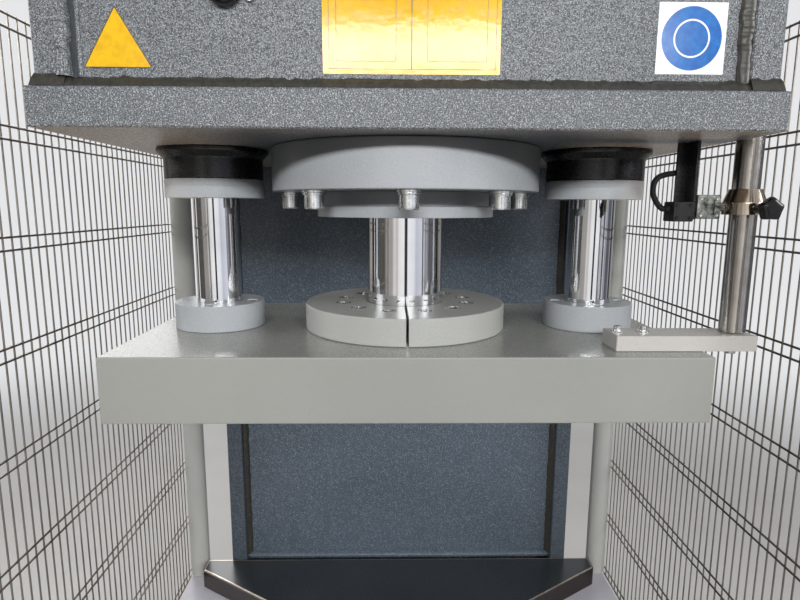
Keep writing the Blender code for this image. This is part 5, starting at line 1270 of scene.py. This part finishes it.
def makePipe():
    pumpLow, pumpHigh = nodeBox("pump_body")
    valveLow, valveHigh = nodeBox("valve_block")
    pipeLow, pipeHigh = nodeBox("pressure_pipe")
    pumpX, pumpZ = (pumpLow[0] + pumpHigh[0]) / 2, (pumpLow[2] + pumpHigh[2]) / 2
    valveX, valveY = (valveLow[0] + valveHigh[0]) / 2, (valveLow[1] + valveHigh[1]) / 2
    # straight out of each port, with one cubic between: p = (1-t)^3 a + 3t(1-t)^2 b + 3t^2(1-t) c + t^3 d
    start = np.array((pumpX, pipeHigh[1], pumpZ))
    end = np.array((valveX, valveY, pipeLow[2]))
    a = start - (0, pipeParts["out"], 0)
    b = np.array((pumpX, nodeBox("oil_tank")[0][1] - pipeParts["clear"], pumpZ))
    c = np.array((valveX, valveY, pumpZ))
    d = end + (0, 0, pipeParts["above"])
    t = np.linspace(0, 1, 97)[:, None]
    bend = (1 - t) ** 3 * a + 3 * t * (1 - t) ** 2 * b + 3 * t ** 2 * (1 - t) * c + t ** 3 * d
    path = np.vstack([np.linspace(start, a, 9)[:-1], bend, np.linspace(d, end, 9)[1:]])
    pipe = tubeShape(path, pipeParts["radius"], 24, (0.9, 0.1, 0.3))
    addPiece("pressurePipe", [pipe], "frame", "brightZinc", ["pressure_pipe"])
    # nuts: a hexagon with its corners turned off, and a cone
    angle = fullTurn(72)
    flat, corner = pipeParts["nut"]
    nut = np.minimum(flat * hexagonReach(angle), corner)
    first, last = pipeParts["nutFrom"], pipeParts["nutTo"]
    rows = [(0, first), (nut, first), (nut, last), pipeParts["cone"], (0, pipeParts["cone"][1])]
    nuts = [rimShape(rows, angle, spot, axis) for spot, axis in ((start, (0, -1, 0)), (end, (0, 0, 1)))]
    addPiece("pipeNuts", nuts, "frame", "brightZinc")


makeMotor()
makePump()
makeTankFittings()
makePipe()
print("power unit made")

# studio: a pale floor that fades into pale surroundings and throws back little light, soft light all round
studio = {"floor": ("#cfcdca", "#d5d3d0"), "bounce": "#6b6763", "back": "#e6e7e9", "world": "#eceef0",
          "ambient": 0.11, "size": 30.0, "fadeFrom": 2.2, "fadeTo": 6.5}
# what polished metal sees round the machine: degrees to the right of the operator's side, and a shade
panels = [(-180, "#f2f3f6"), (-158, "#f2f3f6"), (-150, "#b0a69c"), (-122, "#b5aba0"), (-118, "#121214"),
          (-110, "#121214"), (-107, "#f4f4f6"), (-101, "#f4f4f6"), (-98, "#474d55"), (-78, "#565650"),
          (-66, "#544f4a"), (-60, "#a39f9b"), (-40, "#a8a4a0"), (-34, "#e4e1de"), (-24, "#c9c6c4"),
          (-20, "#f6f3ef"), (-4, "#ffffff"), (-1.5, "#2b2b2e"), (5, "#2b2b2e"), (7, "#ffffff"),
          (26, "#f4f5fb"), (32, "#cfd1dc"), (58, "#e4e6ef"), (62, "#84858c"), (66, "#bcbdc6"),
          (74, "#5d5f69"), (94, "#6a6b75"), (98, "#bcc0cb"), (106, "#17181b"), (114, "#17181b"),
          (120, "#84837a"), (155, "#c9cacc")]


def makeFloor():
    mat, tree, shader = newMaterial("studioFloor")
    place = addNode(tree, "ShaderNodeTexCoord").outputs["Object"]
    cloud = addNode(tree, "ShaderNodeTexNoise", {"Scale": 3.0, "Detail": 4.0}, {"Vector": place})
    colour = addNode(tree, "ShaderNodeValToRGB", {}, {"Fac": cloud.outputs["Fac"]})
    setRamp(colour, [(0.3, studio["floor"][0]), (0.7, studio["floor"][1])])
    shader.inputs["Roughness"].default_value = 0.7
    seen = addNode(tree, "ShaderNodeLightPath").outputs["Is Camera Ray"]
    tint = addNode(tree, "ShaderNodeMix", {"data_type": "RGBA", 6: hexLinear(studio["bounce"])},
                   {0: seen, 7: colour.outputs["Color"]})
    tree.links.new(tint.outputs[2], shader.inputs["Base Color"])
    away = addNode(tree, "ShaderNodeVectorMath", {"operation": "LENGTH"}, {0: place})
    limits = {"From Min": studio["fadeFrom"], "From Max": studio["fadeTo"],
              "interpolation_type": "SMOOTHSTEP"}
    fade = addNode(tree, "ShaderNodeMapRange", limits, {"Value": away.outputs["Value"]})
    fade = addNode(tree, "ShaderNodeMath", {"operation": "MULTIPLY"}, {0: fade.outputs["Result"], 1: seen})
    far = addNode(tree, "ShaderNodeEmission", {"Color": hexLinear(studio["back"]), "Strength": 1.0})
    both = addNode(tree, "ShaderNodeMixShader", {}, {0: fade.outputs[0], 1: shader.outputs["BSDF"],
                                                     2: far.outputs["Emission"]})
    tree.links.new(both.outputs["Shader"], tree.nodes["Material Output"].inputs["Surface"])
    half = studio["size"] / 2
    corners = [(-half, -half, 0), (half, -half, 0), (half, half, 0), (-half, half, 0)]
    mesh = bpy.data.meshes.new("studioFloor")
    mesh.from_pydata(corners, [], [(0, 1, 2, 3)])
    mesh.materials.append(mat)
    floor = bpy.data.objects.new("studioFloor", mesh)
    floor.visible_glossy = False
    bpy.context.scene.collection.objects.link(floor)


def makeSurround():
    # plain pale to the eye, soft light on the machine, and upright panels for whatever shines
    world = bpy.data.worlds.new("studio")
    bpy.context.scene.world = world
    world.use_nodes = True
    tree = world.node_tree
    tree.nodes.clear()
    path = addNode(tree, "ShaderNodeLightPath")
    plain = addNode(tree, "ShaderNodeMath", {"operation": "MAXIMUM"},
                    {0: path.outputs["Is Camera Ray"], 1: path.outputs["Is Transmission Ray"]})
    lighting = addNode(tree, "ShaderNodeBackground", {"Color": hexLinear(studio["world"]),
                                                      "Strength": studio["ambient"]})
    shown = addNode(tree, "ShaderNodeBackground", {"Color": hexLinear(studio["back"]), "Strength": 1.0})
    place = addNode(tree, "ShaderNodeTexCoord").outputs["Generated"]
    way = addNode(tree, "ShaderNodeSeparateXYZ", {}, {"Vector": place})
    ahead = addNode(tree, "ShaderNodeMath", {"operation": "MULTIPLY", 1: -1.0}, {0: way.outputs["Y"]})
    turn = addNode(tree, "ShaderNodeMath", {"operation": "ARCTAN2"},
                   {0: way.outputs["X"], 1: ahead.outputs[0]})
    share = addNode(tree, "ShaderNodeMapRange", {"From Min": -math.pi, "From Max": math.pi},
                    {"Value": turn.outputs[0]})
    shade = addNode(tree, "ShaderNodeValToRGB", {}, {"Fac": share.outputs["Result"]})
    setRamp(shade, [((degrees + 180) / 360, code) for degrees, code in panels])
    panelled = addNode(tree, "ShaderNodeBackground", {"Strength": 1.0}, {"Color": shade.outputs["Color"]})
    # only what is seen straight in the metal shows the panels, so that they throw no patches of light about
    direct = addNode(tree, "ShaderNodeMath", {"operation": "LESS_THAN", 1: 0.5},
                     {0: path.outputs["Diffuse Depth"]})
    mirrored = addNode(tree, "ShaderNodeMath", {"operation": "MULTIPLY"},
                       {0: path.outputs["Is Glossy Ray"], 1: direct.outputs[0]})
    shining = addNode(tree, "ShaderNodeMixShader", {}, {0: mirrored.outputs[0], 1: lighting.outputs[0],
                                                        2: panelled.outputs[0]})
    mixed = addNode(tree, "ShaderNodeMixShader", {}, {0: plain.outputs[0], 1: shining.outputs[0],
                                                      2: shown.outputs[0]})
    addNode(tree, "ShaderNodeOutputWorld", {}, {"Surface": mixed.outputs[0]})


# area lamps: metres and watts, and where needed a colour, a spread in degrees and no reflection
lamps = {
    "front": {"place": (0.3, -5.0, 3.04), "aim": (0.0, -0.4, 1.75), "size": (4.2, 0.4), "power": 170,
              "shines": False},
    "sheen": {"place": (0.2, -5.0, 3.0), "aim": (0.0, -0.4, 1.75), "size": (4.2, 0.4), "power": 92},
    "left": {"place": (-3.0, -0.3, 2.62), "aim": (0.0, -0.2, 1.46), "size": (1.6, 0.8), "power": 40},
    "right": {"place": (3.0, -1.7, 2.62), "aim": (0.0, -0.2, 1.46), "size": (1.6, 0.8), "power": 48},
    "lowLeft": {"place": (-1.1, -0.3, 0.3), "aim": (-0.42, -0.36, 1.75), "size": (0.3, 0.3), "power": 1.1,
                "hex": "#ffd9b4", "spread": 36, "shines": False},
    "lowRight": {"place": (1.1, -0.3, 0.3), "aim": (0.42, -0.36, 1.75), "size": (0.3, 0.3), "power": 1.1,
                 "hex": "#ffd9b4", "spread": 36, "shines": False},
    "window": {"place": (-1.75, 2.9, 2.15), "aim": (-0.38, -0.2, 1.46), "size": (1.1, 0.6), "power": 4.5},
    "back": {"place": (-1.2, 2.9, 3.4), "aim": (0.0, 0.2, 1.4), "size": (2.2, 2.2), "power": 60},
}


def makeLamps():
    for name, lamp in lamps.items():
        data = bpy.data.lights.new(name, "AREA")
        data.shape = "RECTANGLE"
        data.size, data.size_y = lamp["size"]
        data.energy = lamp["power"]
        data.color = hexLinear(lamp.get("hex", "#ffffff"))[:3]
        data.spread = math.radians(lamp.get("spread", 180))
        light = bpy.data.objects.new(name, data)
        light.location = lamp["place"]
        light.visible_glossy = lamp.get("shines", True)
        light.visible_camera = False
        sight = Vector(lamp["aim"]) - Vector(lamp["place"])
        light.rotation_euler = sight.to_track_quat("-Z", "Y").to_euler()
        bpy.context.scene.collection.objects.link(light)


makeFloor()
makeSurround()
makeLamps()
bpy.context.scene.view_settings.view_transform = "Standard"
print("studio lit")
